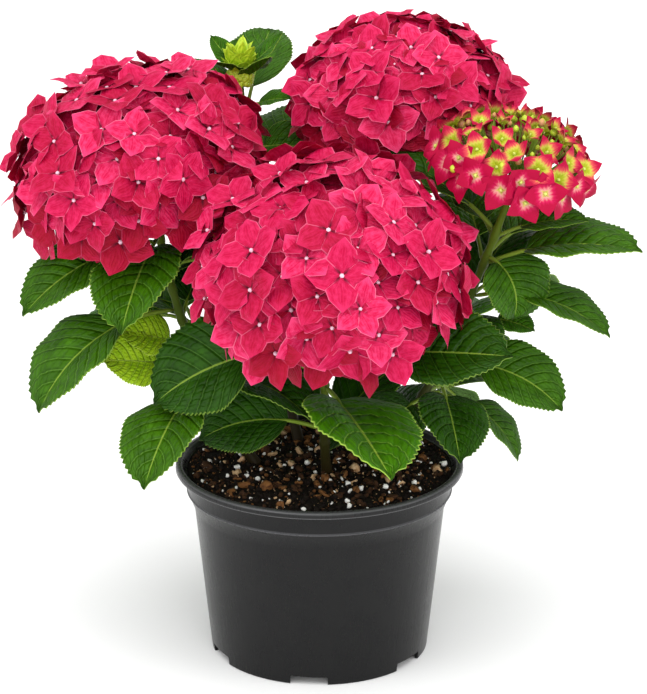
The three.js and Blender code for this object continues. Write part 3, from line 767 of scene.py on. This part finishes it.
def at_tooth(p, side):
    """Whether a point lies on every second row of one edge."""
    t = p.y / BLADE_LENGTH
    on_edge = p.x * side > 0.97 * BLADE_HALF * float(blade_outline(t))
    return on_edge and round(t * BLADE_ROWS) % 2 == 0 and TOOTHED[0] < p.y < TOOTHED[1]


for side in (-1, 1):
    select_where(blade, lambda p: at_tooth(p, side))
    bpy.ops.transform.translate(value=(side * TOOTH_OUT * MM, TOOTH_FORWARD * MM, 0))
bpy.ops.object.mode_set(mode="OBJECT")
print("toothed from", TOOTHED[0], "to", TOOTHED[1], "mm")

# %% Quilting and thickness
VEINS, VEIN_SWEEP, VEIN_BOW = 8.5, 2.5, 1.08
PILLOW, MIDRIB_GROOVE, BLADE_THICKNESS = 1.5, 0.5, 0.6

for vertex in blade.data.vertices:
    x, y = vertex.co.x / MM, vertex.co.y / MM
    t = y / BLADE_LENGTH
    out = min(abs(x) / (BLADE_HALF * float(blade_outline(t)) + 1e-6), 1) if 0 < t < 1 else 0
    between = abs((VEINS * t - VEIN_SWEEP * out**VEIN_BOW) % 1 - 0.5) * 2
    fade = math.sin(math.pi * min(out * 1.15, 1)) * min(4 * t, 1, 5 * (1 - t))
    groove = MIDRIB_GROOVE * math.exp(-((out / 0.08) ** 2))
    vertex.co.z = (PILLOW * (1 - between**2) * fade - groove) * MM
# One slot for the upper skin and one for the underside.
blade.data.materials.append(None)
blade.data.materials.append(None)
skins = {"offset": 0, "material_offset": 1, "material_offset_rim": 0}
apply_modifier(blade, "SOLIDIFY", thickness=BLADE_THICKNESS * MM, **skins)
blade = arrays_of(blade)
print("blade faces:", len(blade["sides"]))

# %% [markdown]
# The upper skin has a soft gloss and pale veins. Painted shade darkens it in the grooves beside the veins
# and along finer rungs from vein to vein. All of it is drawn from the blade's own UV map, across and
# along, so every copy has its veins where its quilting is. The midrib is a pale line, the saw edge a thin
# yellow-green rim. Old leaves are deep green and young ones almost yellow: each tone is a material of its
# own. The underside is paler and dull.

# %% Finishes of the leaves
def from_midline(tree, map_name):
    """A leaf's or sepal's UV map, its two parts, and the share of the way from its midline to its edge."""
    whole_map = add(tree, "UVMap", uv_map=map_name)[0]
    across, along, _ = add(tree, "SeparateXYZ", {0: whole_map})
    side = add(tree, "Math", {0: across, 1: 2.0, 2: -1.0}, operation="MULTIPLY_ADD")[0]
    return whole_map, across, along, add(tree, "Math", {0: side}, operation="ABSOLUTE")[0]


def leaf_finish(name, deep, light, vein, rim, gloss, quilt=0.9):
    """Leaf skin. Its veins follow the rule that quilted the blade."""
    made, tree, shader = new_finish(name, IOR=1.42, Specular_IOR_Level=0.17)
    blade_uv, _, along, out = from_midline(tree, "Blade")
    swept = add(tree, "Math", {0: out, 1: VEIN_BOW}, operation="POWER")[0]
    lean = add(tree, "Math", {0: swept, 1: -VEIN_SWEEP}, operation="MULTIPLY")[0]
    phase = add(tree, "Math", {0: along, 1: VEINS, 2: lean}, operation="MULTIPLY_ADD")[0]
    part = add(tree, "Math", {0: phase}, operation="FRACT")[0]
    centred = add(tree, "Math", {0: part, 1: 2.0, 2: -1.0}, operation="MULTIPLY_ADD")[0]
    near = add(tree, "Math", {0: centred}, operation="ABSOLUTE")[0]
    side_vein = add(tree, "MapRange", {"Value": near, "From Min": 0.9, "From Max": 1.0, "To Max": 0.6})[0]
    slope = {"Value": near, "From Min": 0.45, "From Max": 0.97}
    valley = add(tree, "MapRange", slope, interpolation_type="SMOOTHSTEP")[0]
    middle = {"Value": out, "From Min": 0.01, "From Max": 0.03, "To Min": 0.8, "To Max": 0.0}
    midrib_line = add(tree, "MapRange", middle)[0]
    rim_band = add(tree, "MapRange", {"Value": out, "From Min": 0.97, "From Max": 1.0, "To Max": 0.65})[0]
    # Rungs cross between the side veins every 3.5 mm, stepped from one gap to the next.
    wander = add(tree, "TexNoise", {"Vector": blade_uv, "Scale": 9.0, "Detail": 2.0})["Fac"]
    gap_number = add(tree, "Math", {0: phase}, operation="FLOOR")[0]
    stepped = add(tree, "Math", {0: gap_number, 1: 0.37, 2: wander}, operation="MULTIPLY_ADD")[0]
    rungs = add(tree, "Math", {0: out, 1: 7.0, 2: stepped}, operation="MULTIPLY_ADD")[0]
    from_rung = add(tree, "Math", {0: rungs, 1: 0.5}, operation="PINGPONG")[0]
    rung_width = {"Value": from_rung, "From Max": 0.3, "To Min": 1.0, "To Max": 0.0}
    rung = add(tree, "MapRange", rung_width, interpolation_type="SMOOTHSTEP")[0]
    patches = add(tree, "TexNoise", {"Vector": blade_uv, "Scale": 3.5, "Detail": 4, "Roughness": 0.6})["Fac"]
    mottle = add(tree, "MapRange", {"Value": patches, "From Min": 0.32, "From Max": 0.68})[0]
    # The colours go on in layers, from the mottled skin through the painted shade of the grooves and rungs to
    # the rim.
    skin = add(tree, "MixRGB", {"Fac": mottle, "Color1": deep, "Color2": light})[0]
    # Painted shade: the sunk grooves beside the side veins and the rungs between them are darkened towards
    # the deep green.
    sunk = add(tree, "Math", {0: valley, 1: 0.5}, operation="MULTIPLY")[0]
    painted_rung_shade = add(tree, "Math", {0: rung, 1: 0.3}, operation="MULTIPLY")[0]
    layers = ((sunk, deep), (painted_rung_shade, deep), (side_vein, vein), (midrib_line, rim), (rim_band, rim))
    for share, colour in layers:
        skin = add(tree, "MixRGB", {"Fac": share, "Color1": skin, "Color2": colour})[0]
    hollows = add(tree, "Math", {0: rung, 1: -0.35, 2: wander}, operation="MULTIPLY_ADD")[0]
    quilting = add(tree, "Math", {0: valley, 1: -1.0, 2: hollows}, operation="MULTIPLY_ADD")[0]
    surface(tree, shader, skin, rough=(mottle, 0.12, gloss), relief=(quilting, quilt, 1.1))
    return made


leaf_finishes = [
    leaf_finish("leaf_skin_deep_green", "#173602", "#2a5406", "#4f7a26", "#86a440", 0.36),
    leaf_finish("leaf_skin_mid_green", "#254901", "#406f06", "#6d9a38", "#98b848", 0.36),
    leaf_finish("leaf_skin_fresh_green", "#2a5502", "#427809", "#86b044", "#a9c84e", 0.36),
    leaf_finish("leaf_skin_young_yellow_green", "#8fbc16", "#b4d62a", "#cfe068", "#d4e66c", 0.4),
    leaf_finish("leaf_underside_matt", "#4b6e30", "#5d803c", "#829f58", "#9ab56a", 0.62, 0.8),
]
UNDERSIDE = 4
print("leaf finishes:", len(leaf_finishes))


# %% [markdown]
# ## Leaves on their shoots
# A stalk and its midrib are one arc, which leaves the stem at the leaf's rise and bends down by its droop.
# The flat blade is wrapped on that arc: its halves are raised like shallow wings, flatter towards the
# edge, and its edge waves a little, differently on each leaf.

# %% Leaf rules
FOLD = math.radians(16)
LEAF_KEYS = ("at", "heading", "rise", "droop", "reach", "width", "roll", "stalk", "tone")
UP = np.array([0, 0, 1.0])


def midrib(leaf, share):
    """Points and directions of the stalk and midrib, and the level direction to its right."""
    rise, droop, heading = (math.radians(leaf[key]) for key in ("rise", "droop", "heading"))
    slope = rise - droop * share
    ahead = leaf["reach"] * (math.sin(rise) - np.sin(slope)) / droop
    climb = leaf["reach"] * (np.cos(slope) - math.cos(rise)) / droop
    out = np.array([math.cos(heading), math.sin(heading), 0])
    point = leaf["root"] + ahead[:, None] * out + climb[:, None] * UP
    along = np.cos(slope)[:, None] * out + np.sin(slope)[:, None] * UP
    return point, along, np.array([out[1], -out[0], 0])


def leaf_axes(leaf, share):
    """Points of the stalk and midrib, and the directions across the leaf and out of its upper skin."""
    point, along, side = midrib(leaf, share)
    roll = math.radians(leaf["roll"])
    across = side * math.cos(roll) + np.cross(along, side) * math.sin(roll)
    return point, across, np.cross(across, along)


def leaves_of(shoot):
    """Every leaf of a shoot. The twin of each pair is a little smaller."""
    for i, row in enumerate(shoot[3]):
        leaf = dict(zip(LEAF_KEYS, row), root=shoot_curve(shoot, row[0])[0])
        yield leaf
        if len(row) > len(LEAF_KEYS):
            smaller = 1 - 0.12 * chance(i + leaf["heading"])
            reach, width = leaf["reach"] * smaller, leaf["width"] * smaller
            yield dict(leaf, heading=row[-1], roll=0, reach=reach, width=width)


def blade_points(leaf, number):
    """The blade, laid along a leaf's midrib. number picks how its edge waves."""
    x, y, z = blade["points"].T
    t = np.clip(y / BLADE_LENGTH, 0, 1)
    point, across, normal = leaf_axes(leaf, leaf["stalk"] + (1 - leaf["stalk"]) * y / BLADE_LENGTH)
    half = x / BLADE_HALF * leaf["width"] / 2
    out = np.abs(x) / BLADE_HALF
    lift = np.abs(half) * math.sin(FOLD) * (1.25 - 0.55 * out)
    wave = 0.022 * leaf["width"] * out**2 * np.sin(17 * t + 6.28 * chance(number) + 2 * np.sign(x))
    raised = lift + wave + z * leaf["width"] / (2 * BLADE_HALF)
    return point + across * (half * math.cos(FOLD))[:, None] + normal * raised[:, None]


def stalk_points(leaf):
    """The leaf's stalk, which runs on under the blade as its midrib."""
    far = leaf["stalk"] + (1 - leaf["stalk"]) * 0.9

    def radius(along):
        taper = np.interp(along * far, [0, 0.05, leaf["stalk"], far], [2.3, 1.6, 1.35, 0.35])
        return taper * (0.75 + 0.25 * leaf["width"] / (2 * BLADE_HALF))

    def path(along):
        point, across, normal = leaf_axes(leaf, along * far)
        under = np.clip((along * far - leaf["stalk"]) / 0.06, 0, 1)
        return point - normal * (under * (radius(along) * 0.75 + 0.1))[:, None], across, normal

    return run_along(stalk_tube, path, radius)


print("leaves on each shoot:", {label: len(list(leaves_of(shoot))) for label, shoot in SHOOTS.items()})

# %% [markdown]
# Leaf stalks are pale yellow-green, with a reddish-brown stain where they clasp the stem.

# %% Leaves and stalks
stalk_skin, tree, shader = new_finish("leaf_stalk_skin", IOR=1.45, Specular_IOR_Level=0.15)
skin = add(tree, "UVMap", uv_map="Bark")[0]
length = add(tree, "SeparateXYZ", {0: skin})[1]
stains = [(0.0, "#5c3d20"), (1.0, "#839c32"), (0.09, "#667426"), (0.25, "#76892c")]
stain = add(tree, "ValToRGB", {0: length}, stops=stains)[0]
drawn_out = add(tree, "Mapping", {"Vector": skin, "Scale": (9, 30, 1)})[0]
streaks = add(tree, "TexNoise", {"Vector": drawn_out, "Scale": 1.0})["Fac"]
stalk_colour = add(tree, "MixRGB", {"Fac": streaks, "Color1": stain, "Color2": "#6f8a2c"})[0]
surface(tree, shader, stalk_colour, rough=(streaks, 0.2, 0.36), relief=(streaks, 0.3, 0.3))

count = 0
for label, shoot in SHOOTS.items():
    blades, stalks = [], []
    for leaf in leaves_of(shoot):
        count += 1
        tones = np.where(blade["slots"] == 0, leaf["tone"], UNDERSIDE)
        blades.append((blade, blade_points(leaf, count), tones))
        stalks.append((stalk_tube, stalk_points(leaf), 0))
    belongs(joined(f"leaves_{label}", blades, leaf_finishes, "Blade"), "leaf", f"foliage_{label}")
    belongs(joined(f"leaf_stalks_{label}", stalks, [stalk_skin], "Bark"), "green_stem")
print("leaves:", count)

# %% [markdown]
# ## One sterile floret
# A mophead is a ball of sterile florets. Each has four broad pink sepals, pointed at the tip and narrow at
# the claw, round a tiny pale bead, and every second sepal lies over its neighbours. About one floret in
# eight has a fifth. A sepal is a small grid whose rows are scaled to its outline and lifted into a shallow
# dish. The floret is used hundreds of times, so a sepal has only sixteen faces.

# %% The sepal and the floret
ASIDE, SEPAL_OVERLAP = 10, 0.03


def sepal_sheet(rows):
    """A sepal of length 1 as an object. A row gives a place along it, its full width there and its lift."""
    grid = {"x_subdivisions": 4, "y_subdivisions": len(rows) - 1, "size": 1, "location": (0, 0.5, 0)}
    sheet = start("sepal", bpy.ops.mesh.primitive_grid_add, **grid)
    bpy.ops.object.transform_apply(location=True)
    for i, (place, width, lift) in enumerate(rows):
        height = i / (len(rows) - 1)
        select_where(sheet, lambda p: abs(p.y * MM - height) < 0.01)
        bpy.ops.transform.resize(value=(width, 1, 1), center_override=(0, height, 0))
        # A finished row waits far aside, where the next selection can't catch it.
        bpy.ops.transform.translate(value=(0, place - height + ASIDE, lift))
    bpy.ops.mesh.select_all(action="SELECT")
    bpy.ops.transform.translate(value=(0, -ASIDE, 0))
    bpy.ops.object.mode_set(mode="OBJECT")
    for vertex in sheet.data.vertices:
        half = abs(vertex.co.x)
        vertex.co.z -= 0.22 * half**2 - 0.03 * math.exp(-((half / 0.06) ** 2))
        vertex.co.y -= 0.16 * half**2
    return sheet


def floret(sheet_rows, bead, bead_lift, sepals=4):
    """Sepals round a bead, as arrays. The tips are one unit from the middle of the bead."""
    sheets = [sepal_sheet(sheet_rows)]
    for i in range(1, sepals):
        sheet = sheets[0].copy()
        sheet.data = sheets[0].data.copy()
        scene.collection.objects.link(sheet)
        lifted = Matrix.Translation((0, 0, SEPAL_OVERLAP * (i % 2)))
        sheet.data.transform(lifted @ Matrix.Rotation(math.tau / sepals * i, 4, "Z"))
        sheets.append(sheet)
    ball = {"segments": 6, "ring_count": 4, "radius": bead, "location": (0, 0, bead_lift)}
    eye = start("eye", bpy.ops.mesh.primitive_uv_sphere_add, **ball)
    bpy.ops.object.transform_apply(location=True)
    bead_faces = len(eye.data.polygons)
    shape = arrays_of(join_objects(eye, *sheets))
    shape["points"] *= MM
    shape["slots"] = np.where(np.arange(len(shape["sides"])) < bead_faces, 1, 0)
    return shape


OPEN_ROWS = [(0.02, 0.05, 0), (0.2, 0.4, 0.07), (0.44, 0.92, 0.18), (0.71, 0.74, 0.27), (1.0, 0.03, 0.23)]
NARROW_ROWS = [(place, 0.84 * width, lift) for place, width, lift in OPEN_ROWS]
OPEN_BEAD = {"bead": 0.072, "bead_lift": 0.06}
open_florets = [floret(OPEN_ROWS, **OPEN_BEAD), floret(NARROW_ROWS, sepals=5, **OPEN_BEAD)]
print("floret faces:", [len(shape["sides"]) for shape in open_florets])

# %% [markdown]
# Sepals are soft and matt, a hot pink that is paler along the edge and in the fan of veins, and deeper
# towards the claw, with a short dark line of painted shade in each gap between the claws. Four tints are
# dealt out floret by floret. The fourth, a duller and redder crimson, is painted shade: it goes to florets
# low on the head and inside it, which lie in the shade of the others. The surface is a little crinkled
# between the veins.

# %% Finishes of the sepals
PAINTED_CLAW_GAP_SHADE = "#4a0418"


def sepal_finish(name, claw, body, light, edge):
    """One tint of sepal, from the claw to the pale edge."""
    made, tree, shader = new_finish(name, IOR=1.4, Specular_IOR_Level=0.16)
    sepal_uv, across, along, out = from_midline(tree, "Sepal")
    wander = add(tree, "TexNoise", {"Vector": sepal_uv, "Scale": 5.0, "Detail": 4, "Roughness": 0.6})["Fac"]
    fan = add(tree, "Math", {0: across, 1: 9.0, 2: wander}, operation="MULTIPLY_ADD")[0]
    fan_part = add(tree, "Math", {0: fan, 1: 0.5}, operation="PINGPONG")[0]
    veins = add(tree, "MapRange", {"Value": fan_part, "From Min": 0.34, "From Max": 0.5, "To Max": 0.45})[0]
    cloud = add(tree, "MapRange", {"Value": wander, "From Min": 0.4, "From Max": 0.68, "To Max": 0.85})[0]
    rim = add(tree, "MapRange", {"Value": out, "From Min": 0.9, "From Max": 1.0, "To Max": 0.5})[0]
    # Painted shade: between the claws, where the gap between sepals lies in shade, a short dark line runs out
    # from the bead.
    from_bead = {"Value": along, "From Min": 0.12, "From Max": 0.3, "To Min": 1.0, "To Max": 0.0}
    near_bead = add(tree, "MapRange", from_bead)[0]
    claw_side = add(tree, "MapRange", {"Value": out, "From Min": 0.3, "From Max": 0.8, "To Max": 0.9})[0]
    claw_gap_painted_shade = add(tree, "Math", {0: near_bead, 1: claw_side}, operation="MULTIPLY")[0]
    # The colours go on in layers, from the body of the sepal to the painted shade line between the claws.
    skin = add(tree, "ValToRGB", {0: along}, stops=[(0.0, claw), (1.0, light), (0.2, body), (0.75, body)])[0]
    for share, colour in ((cloud, light), (veins, light), (rim, edge), (claw_gap_painted_shade, PAINTED_CLAW_GAP_SHADE)):
        skin = add(tree, "MixRGB", {"Fac": share, "Color1": skin, "Color2": colour})[0]
    crinkle = add(tree, "Math", {0: wander, 1: 1.4, 2: fan_part}, operation="MULTIPLY_ADD")[0]
    surface(tree, shader, skin, rough=(wander, 0.2, 0.45), relief=(crinkle, 0.5, 0.8))
    return made


def bead_finish(name, low, high):
    """The waxy skin of beads, buds and bracts, speckled between two tints."""
    made, tree, shader = new_finish(name, IOR=1.42)
    sepal_uv = add(tree, "UVMap", uv_map="Sepal")[0]
    speckle = add(tree, "TexNoise", {"Vector": sepal_uv, "Scale": 6.0})["Fac"]
    colour = add(tree, "ValToRGB", {0: speckle}, stops=[(0.3, low), (0.7, high)])[0]
    rough = add(tree, "Math", {0: speckle, 1: 0.2, 2: 0.3}, operation="MULTIPLY_ADD")[0]
    link(tree, shader, Base_Color=colour, Roughness=rough)
    return made


sepal_finishes = [
    sepal_finish("sepal_rose", "#a00026", "#b0023a", "#cc265a", "#ee7ea2"),
    sepal_finish("sepal_bright_rose", "#ac022c", "#be0842", "#dc3c6e", "#f494b2"),
    sepal_finish("sepal_deep_rose", "#8e001e", "#a0002e", "#bc1c4c", "#e47496"),
    sepal_finish("sepal_crimson_painted_shade", "#660010", "#900020", "#a40e36", "#c65274"),
    bead_finish("pink_white_bead", "#d8a0b8", "#eccada"),
]
BEAD = 4
print("sepal finishes:", [m.name for m in sepal_finishes])

# %% [markdown]
# ## The mopheads
# Florets are dealt over a flattened ball by the golden angle, which never lines them up, from the crown to
# well below the widest part. Each faces outwards and a little up to the light, with a small tilt of its
# own. A second, deeper layer in shadow closes the gaps, as the inner florets do, and is painted mostly in
# the crimson tint, as painted shade. Thin stalks gather them in towards the throat.

# %% Flower head rules
FLOWERS = {
    "front": {"centre": [8, -85, 301], "radius": 92, "height": 76, "lean": 16, "heading": 270, "size": 21.5},
    "left": {"centre": [-123, 25, 342], "radius": 91, "height": 70, "lean": 14, "heading": 190, "size": 21.5},
    "right": {"centre": [126, -40, 358], "radius": 55, "height": 35, "lean": 12, "heading": 345, "size": 13},
    "back": {"centre": [60, 90, 371], "radius": 80, "height": 61, "lean": 6, "heading": 45, "size": 20.5},
}
REACH_DOWN, GOLDEN = math.radians(116), 2.399963


def head_axes(flower):
    """Rows are the head's own X, Y and crown directions. The crown leans a little, towards the heading."""
    lean, heading = math.radians(flower["lean"]), math.radians(flower["heading"])
    crown = Vector((math.sin(lean) * math.cos(heading), math.sin(lean) * math.sin(heading), math.cos(lean)))
    return np.array(Vector((0, 0, 1)).rotation_difference(crown).to_matrix()).T


def head_place(flower, way, swell):
    """A point on the head in the direction way, and the outward direction there."""
    shape = np.array([flower["radius"], flower["radius"], flower["height"]])
    axes = head_axes(flower)
    return (way * shape * swell) @ axes + flower["centre"], unit(way / shape * [1, 1, 0.75]) @ axes


def hub_of(flower):
    """The place under the head's middle where its stalks meet."""
    return head_place(flower, np.array([0, 0, -0.3]), 1)[0]


def spread(count, turn_by, lowest=REACH_DOWN):
    """Directions dealt by the golden angle, from the crown down."""
    for i in range(count):
        rise = 1 - (1 - math.cos(lowest)) * (i + 0.5) / count
        out, turn = math.sqrt(1 - rise * rise), GOLDEN * i + turn_by
        yield i, np.array([out * math.cos(turn), out * math.sin(turn), rise])


def set_floret(shape, face, outward, spin, size, cup):
    """A floret's points, with its eye at face. cup deepens or flattens its dish."""
    across = unit(np.cross([0.37, 0.21, 0.9], outward))
    third = np.cross(outward, across)
    turned = across * math.cos(spin) + third * math.sin(spin)
    axes = np.array([turned, np.cross(outward, turned), outward])
    x, y, z = shape["points"].T
    turn = np.arctan2(y, x)
    warp = (x * x + y * y) * (0.1 * np.sin(2 * turn + 9 * spin) + 0.07 * np.sin(3 * turn + 17 * spin))
    return face + (np.stack([x, y, z * cup + warp], axis=1) * size) @ axes


print("heads, in mm across:", {label: 2 * flower["radius"] for label, flower in FLOWERS.items()})

# %% [markdown]
# Under each head a stalk runs up from the throat and parts into the threads that carry the florets. They
# are green with a brown stain at the foot. One short tube is copied for each and bowed a little.

# %% Stalks of the heads
ARMS, ARM_SPREAD, ARM_DROP = 7, 0.42, -0.22


def thread_points(top, root, radius, bow=0.12):
    """A stalk from root to top, bowed by a share of its length and thinner at its top."""
    chord = top - root
    sag = unit(np.cross(np.cross(chord, UP), chord) + 1e-6) * np.linalg.norm(chord) * bow
    across = unit(np.cross(chord, [0.3, 0.5, 0.8]))
    third = np.cross(across, unit(chord))

    def path(along):
        bowed = root + chord * along[:, None] - sag * (4 * along * (1 - along))[:, None]
        return bowed, across, third

    return run_along(thread_tube, path, lambda along: radius * (1.5 - 0.5 * along))


def head_stalks(label, threads):
    """The stalk under a head, its arms, and a thread to each floret."""
    flower = FLOWERS[label]
    throat, hub = np.array(SHOOTS[label][2], float), hub_of(flower)
    stalks = [thread_points(hub + (hub - throat) * 0.1, throat - (hub - throat) * 0.06, 2.4, 0)]
    for i in range(ARMS):
        turn = math.tau * i / ARMS + 0.4
        way = np.array([ARM_SPREAD * math.cos(turn), ARM_SPREAD * math.sin(turn), ARM_DROP])
        stalks.append(thread_points(head_place(flower, way, 1)[0], throat, 1.3, 0.1))
    stalks += [thread_points(*thread) for thread in threads]
    copies = [(thread_tube, points, 0) for points in stalks]
    belongs(joined(f"flower_stalks_{label}", copies, [stalk_skin], "Bark"), "green_stem")


print("arms under each head:", ARMS)

# %% Florets of the three mopheads
# Each layer's number of florets, depth as a share of the head, turn, and tints to draw from.
LAYERS = ((112, 0.905, 0, [0, 0, 1, 1, 2, 2]), (110, 0.81, 1.7, [3, 3, 2]))
# Painted shade: many florets low on the head take the crimson tint, and the inner layer draws mostly from it.
PAINTED_SHADE_TINT, PAINTED_SHADE_BELOW = 3, -0.12
UPTURN, TILT = 0.32, 0.2
FIVE_SEPALS = 0.12


def mophead(label, seed):
    """Deals a head's florets. Returns the top, root and radius of each one's thread."""
    flower = FLOWERS[label]
    hub = hub_of(flower)
    florets, threads = [], []
    for count, depth, turn_by, tints in LAYERS:
        for i, way in spread(count, seed + turn_by):
            swell = depth - 0.035 * (i % 3) + 0.02 * dice.random()
            face, outward = head_place(flower, way, swell)
            outward = unit(outward + UPTURN * UP + dice.normal(size=3) * TILT)
            size = flower["size"] * (0.9 + 0.2 * dice.random())
            takes_painted_shade = way[2] < PAINTED_SHADE_BELOW and dice.random() < 0.6
            tint = PAINTED_SHADE_TINT if takes_painted_shade else int(dice.choice(tints))
            shape = open_florets[int(dice.random() < FIVE_SEPALS)]
            cup = 0.1 + 1.2 * dice.random()
            points = set_floret(shape, face, outward, math.tau * dice.random(), size, cup)
            florets.append((shape, points, np.where(shape["slots"] == 1, BEAD, tint)))
            threads.append((face - outward * 0.4, hub + (face - hub) * 0.15, 0.55))
    belongs(joined(f"blossom_{label}", florets, sepal_finishes, "Sepal"), "sepal", f"flower_{label}")
    return threads


for label, seed in (("front", 1), ("left", 2), ("back", 4)):
    head_stalks(label, mophead(label, seed))

# %% [markdown]
# ## Buds
# A closed bud is a plump drop: a low ball, pulled up to a blunt point. Most are yellow-green, and some
# have begun to flush pink.

# %% One bud
bud_shape = start("bud", bpy.ops.mesh.primitive_uv_sphere_add, segments=8, ring_count=5, radius=1 * MM)
select_where(bud_shape, lambda p: p.z > 0.9)
bpy.ops.transform.translate(value=(0, 0, 0.25 * MM))
bpy.ops.object.mode_set(mode="OBJECT")
bud_shape = arrays_of(bud_shape)
bud_finishes = [
    bead_finish("bud_yellow_green", "#a4c01c", "#d0de48"),
    bead_finish("bud_pink_flush", "#c2a83c", "#d98a76"),
]
print("bud faces:", len(bud_shape["sides"]))

# %% [markdown]
# ## The young head
# The flower head on the right has only begun to open. Its florets are half the size, with pink tips that
# fade through cream to a yellow-green centre, flat round the edge and still cupped in the middle. Unopened
# buds stand between them. The young floret's sepals are narrower, so their points stand apart like a star.

# %% Young florets and their finishes
YOUNG_ROWS = [(0.04, 0.34, 0), (0.25, 0.76, 0.08), (0.5, 0.92, 0.18), (0.76, 0.56, 0.26), (1.0, 0.04, 0.28)]
young_floret = floret(YOUNG_ROWS, 0.1, 0.08)


def young_finish(name, centre, cream, pink, tip, fade):
    """A sepal that colours from its tip. A lower fade leaves more of it green."""
    made, tree, shader = new_finish(name, IOR=1.4, Specular_IOR_Level=0.15)
    sepal_uv = add(tree, "UVMap", uv_map="Sepal")[0]
    along = add(tree, "SeparateXYZ", {0: sepal_uv})[1]
    rays = add(tree, "Mapping", {"Vector": sepal_uv, "Scale": (9, 1.5, 1)})[0]
    wander = add(tree, "TexNoise", {"Vector": rays, "Scale": 1.0, "Detail": 3.0})["Fac"]
    reach = add(tree, "Math", {0: wander, 1: 0.5, 2: fade}, operation="MULTIPLY_ADD")[0]
    shifted = add(tree, "Math", {0: along, 1: reach}, operation="ADD")[0]
    stops = [(0.08, centre), (1.0, tip), (0.22, cream), (0.4, pink), (0.58, tip)]
    colour = add(tree, "ValToRGB", {0: shifted}, stops=stops)[0]
    surface(tree, shader, colour, rough=(wander, 0.2, 0.45), relief=(wander, 0.3, 0.4))
    return made


young_finishes = [
    young_finish("young_sepal_pink", "#b4b440", "#d8908a", "#bc144c", "#a20234", -0.18),
    young_finish("young_sepal_green", "#9aa41c", "#bcb848", "#c84a4c", "#a80438", -0.38),
    bead_finish("green_bead", "#a9b83a", "#d3d977"),
]
YOUNG_BEAD = 2
print("young floret faces:", len(young_floret["sides"]))

# %% The young head
YOUNG_FLORETS, YOUNG_DOWN, YOUNG_TILT = 62, math.radians(104), 0.22
YOUNG_BUDS, BUDS_DOWN = 110, math.radians(96)


def young_head():
    """Deals the young florets and the buds between them. Returns their threads."""
    flower = FLOWERS["right"]
    hub = hub_of(flower)
    florets, buds, threads = [], [], []
    for i, way in spread(YOUNG_FLORETS, 3, YOUNG_DOWN):
        edge = math.sqrt(1 - min(way[2], 1) ** 2) if way[2] > 0 else 1
        face, outward = head_place(flower, way, 0.95 - 0.03 * (i % 3))
        outward = unit(outward + dice.normal(size=3) * YOUNG_TILT)
        size = flower["size"] * (0.52 + 0.56 * edge**2) * (0.9 + 0.2 * dice.random())
        tone = 0 if way[2] < 0.15 + 0.35 * dice.random() else 1
        cup = (4.4 - 3.7 * edge) * (0.8 + 0.4 * dice.random())
        points = set_floret(young_floret, face, outward, math.tau * dice.random(), size, cup)
        florets.append((young_floret, points, np.where(young_floret["slots"] == 1, YOUNG_BEAD, tone)))
        threads.append((face - outward * 0.4, hub + (face - hub) * 0.1, 0.5))
    for i, way in spread(YOUNG_BUDS, 1.1, BUDS_DOWN):
        face, _ = head_place(flower, way, 0.84 + 0.1 * dice.random())
        bud = bud_shape["points"] * (1.5 + 1.3 * dice.random()) + face
        buds.append((bud_shape, bud, int(dice.random() < 0.35)))
        threads.append((face, hub + (face - hub) * 0.1, 0.45))
    belongs(joined("young_blossom_right", florets, young_finishes, "Sepal"), "young_sepal", "flower_right")
    belongs(joined("young_buds_right", buds, bud_finishes, "Sepal"), "bud")
    return threads


head_stalks("right", young_head())

# %% [markdown]
# ## The bud cluster
# On the shoot at the back left a whole head of buds is still packed into one bright knob. Upright bracts
# ring it, and small leaves open below them. Both are the blade again, dealt round by the golden angle,
# because a bract is a small leaf with a finish of its own.

# %% Knob, bracts and small leaves
KNOB_BUDS, KNOB_RADIUS, KNOB_DOWN = 90, 7, math.radians(125)
GOLDEN_DEGREES = 137.5
throat = np.array(SHOOTS["bud"][2], float)
buds = []
for _, way in spread(KNOB_BUDS, 0.3, KNOB_DOWN):
    place = throat + way * (KNOB_RADIUS + 1.5 * dice.random()) * [1, 1, 0.95]
    buds.append((bud_shape, bud_shape["points"] * (1.9 + 0.9 * dice.random()) + place, 0))
belongs(joined("bud_cluster_knobs", buds, bud_finishes[:1], "Sepal"), "bud", "bud_cluster")


def ring_of_leaves(name, count, rise, reach, width, finish, map_name):
    """Small leaves round the knob, the later ones higher and more upright."""
    copies = []
    for i in range(count):
        bract = {"root": throat + [0, 0, 10 * i / count - 2], "stalk": 0.08}
        bract["heading"] = 180 + GOLDEN_DEGREES * i
        bract["rise"] = rise + 20 * i / count
        bract["droop"] = 5 - 35 * dice.random()
        bract["reach"] = reach * (0.85 + 0.25 * dice.random())
        bract["width"] = width * (0.8 + 0.3 * dice.random())
        bract["roll"] = 50 * dice.random() - 25
        copies.append((blade, blade_points(bract, i), 0))
    belongs(joined(name, copies, [finish], map_name), "leaf")


bract_skin = bead_finish("bract_skin_yellow_green", "#8cb010", "#cfe03c")
ring_of_leaves("bud_cluster_leaves", 6, 16, 38, 24, leaf_finishes[2], "Blade")
ring_of_leaves("bud_cluster_bracts", 30, 42, 21, 13, bract_skin, "Sepal")

# %% [markdown]
# ## Finish
# The box of the dressed plant is compared with the box of the plain solids, and how far it grew is printed.
# The dressed plant has to stay in the box of the plain solids, apart from a little for soft leaves.

# %% Compare the boxes and finish
dressed_box = [list(corner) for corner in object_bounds()]
growth = [[round((new - old) / MM, 1) for new, old in zip(*corners)] for corners in zip(dressed_box, cad_box)]
print("grew by, in mm:", growth)
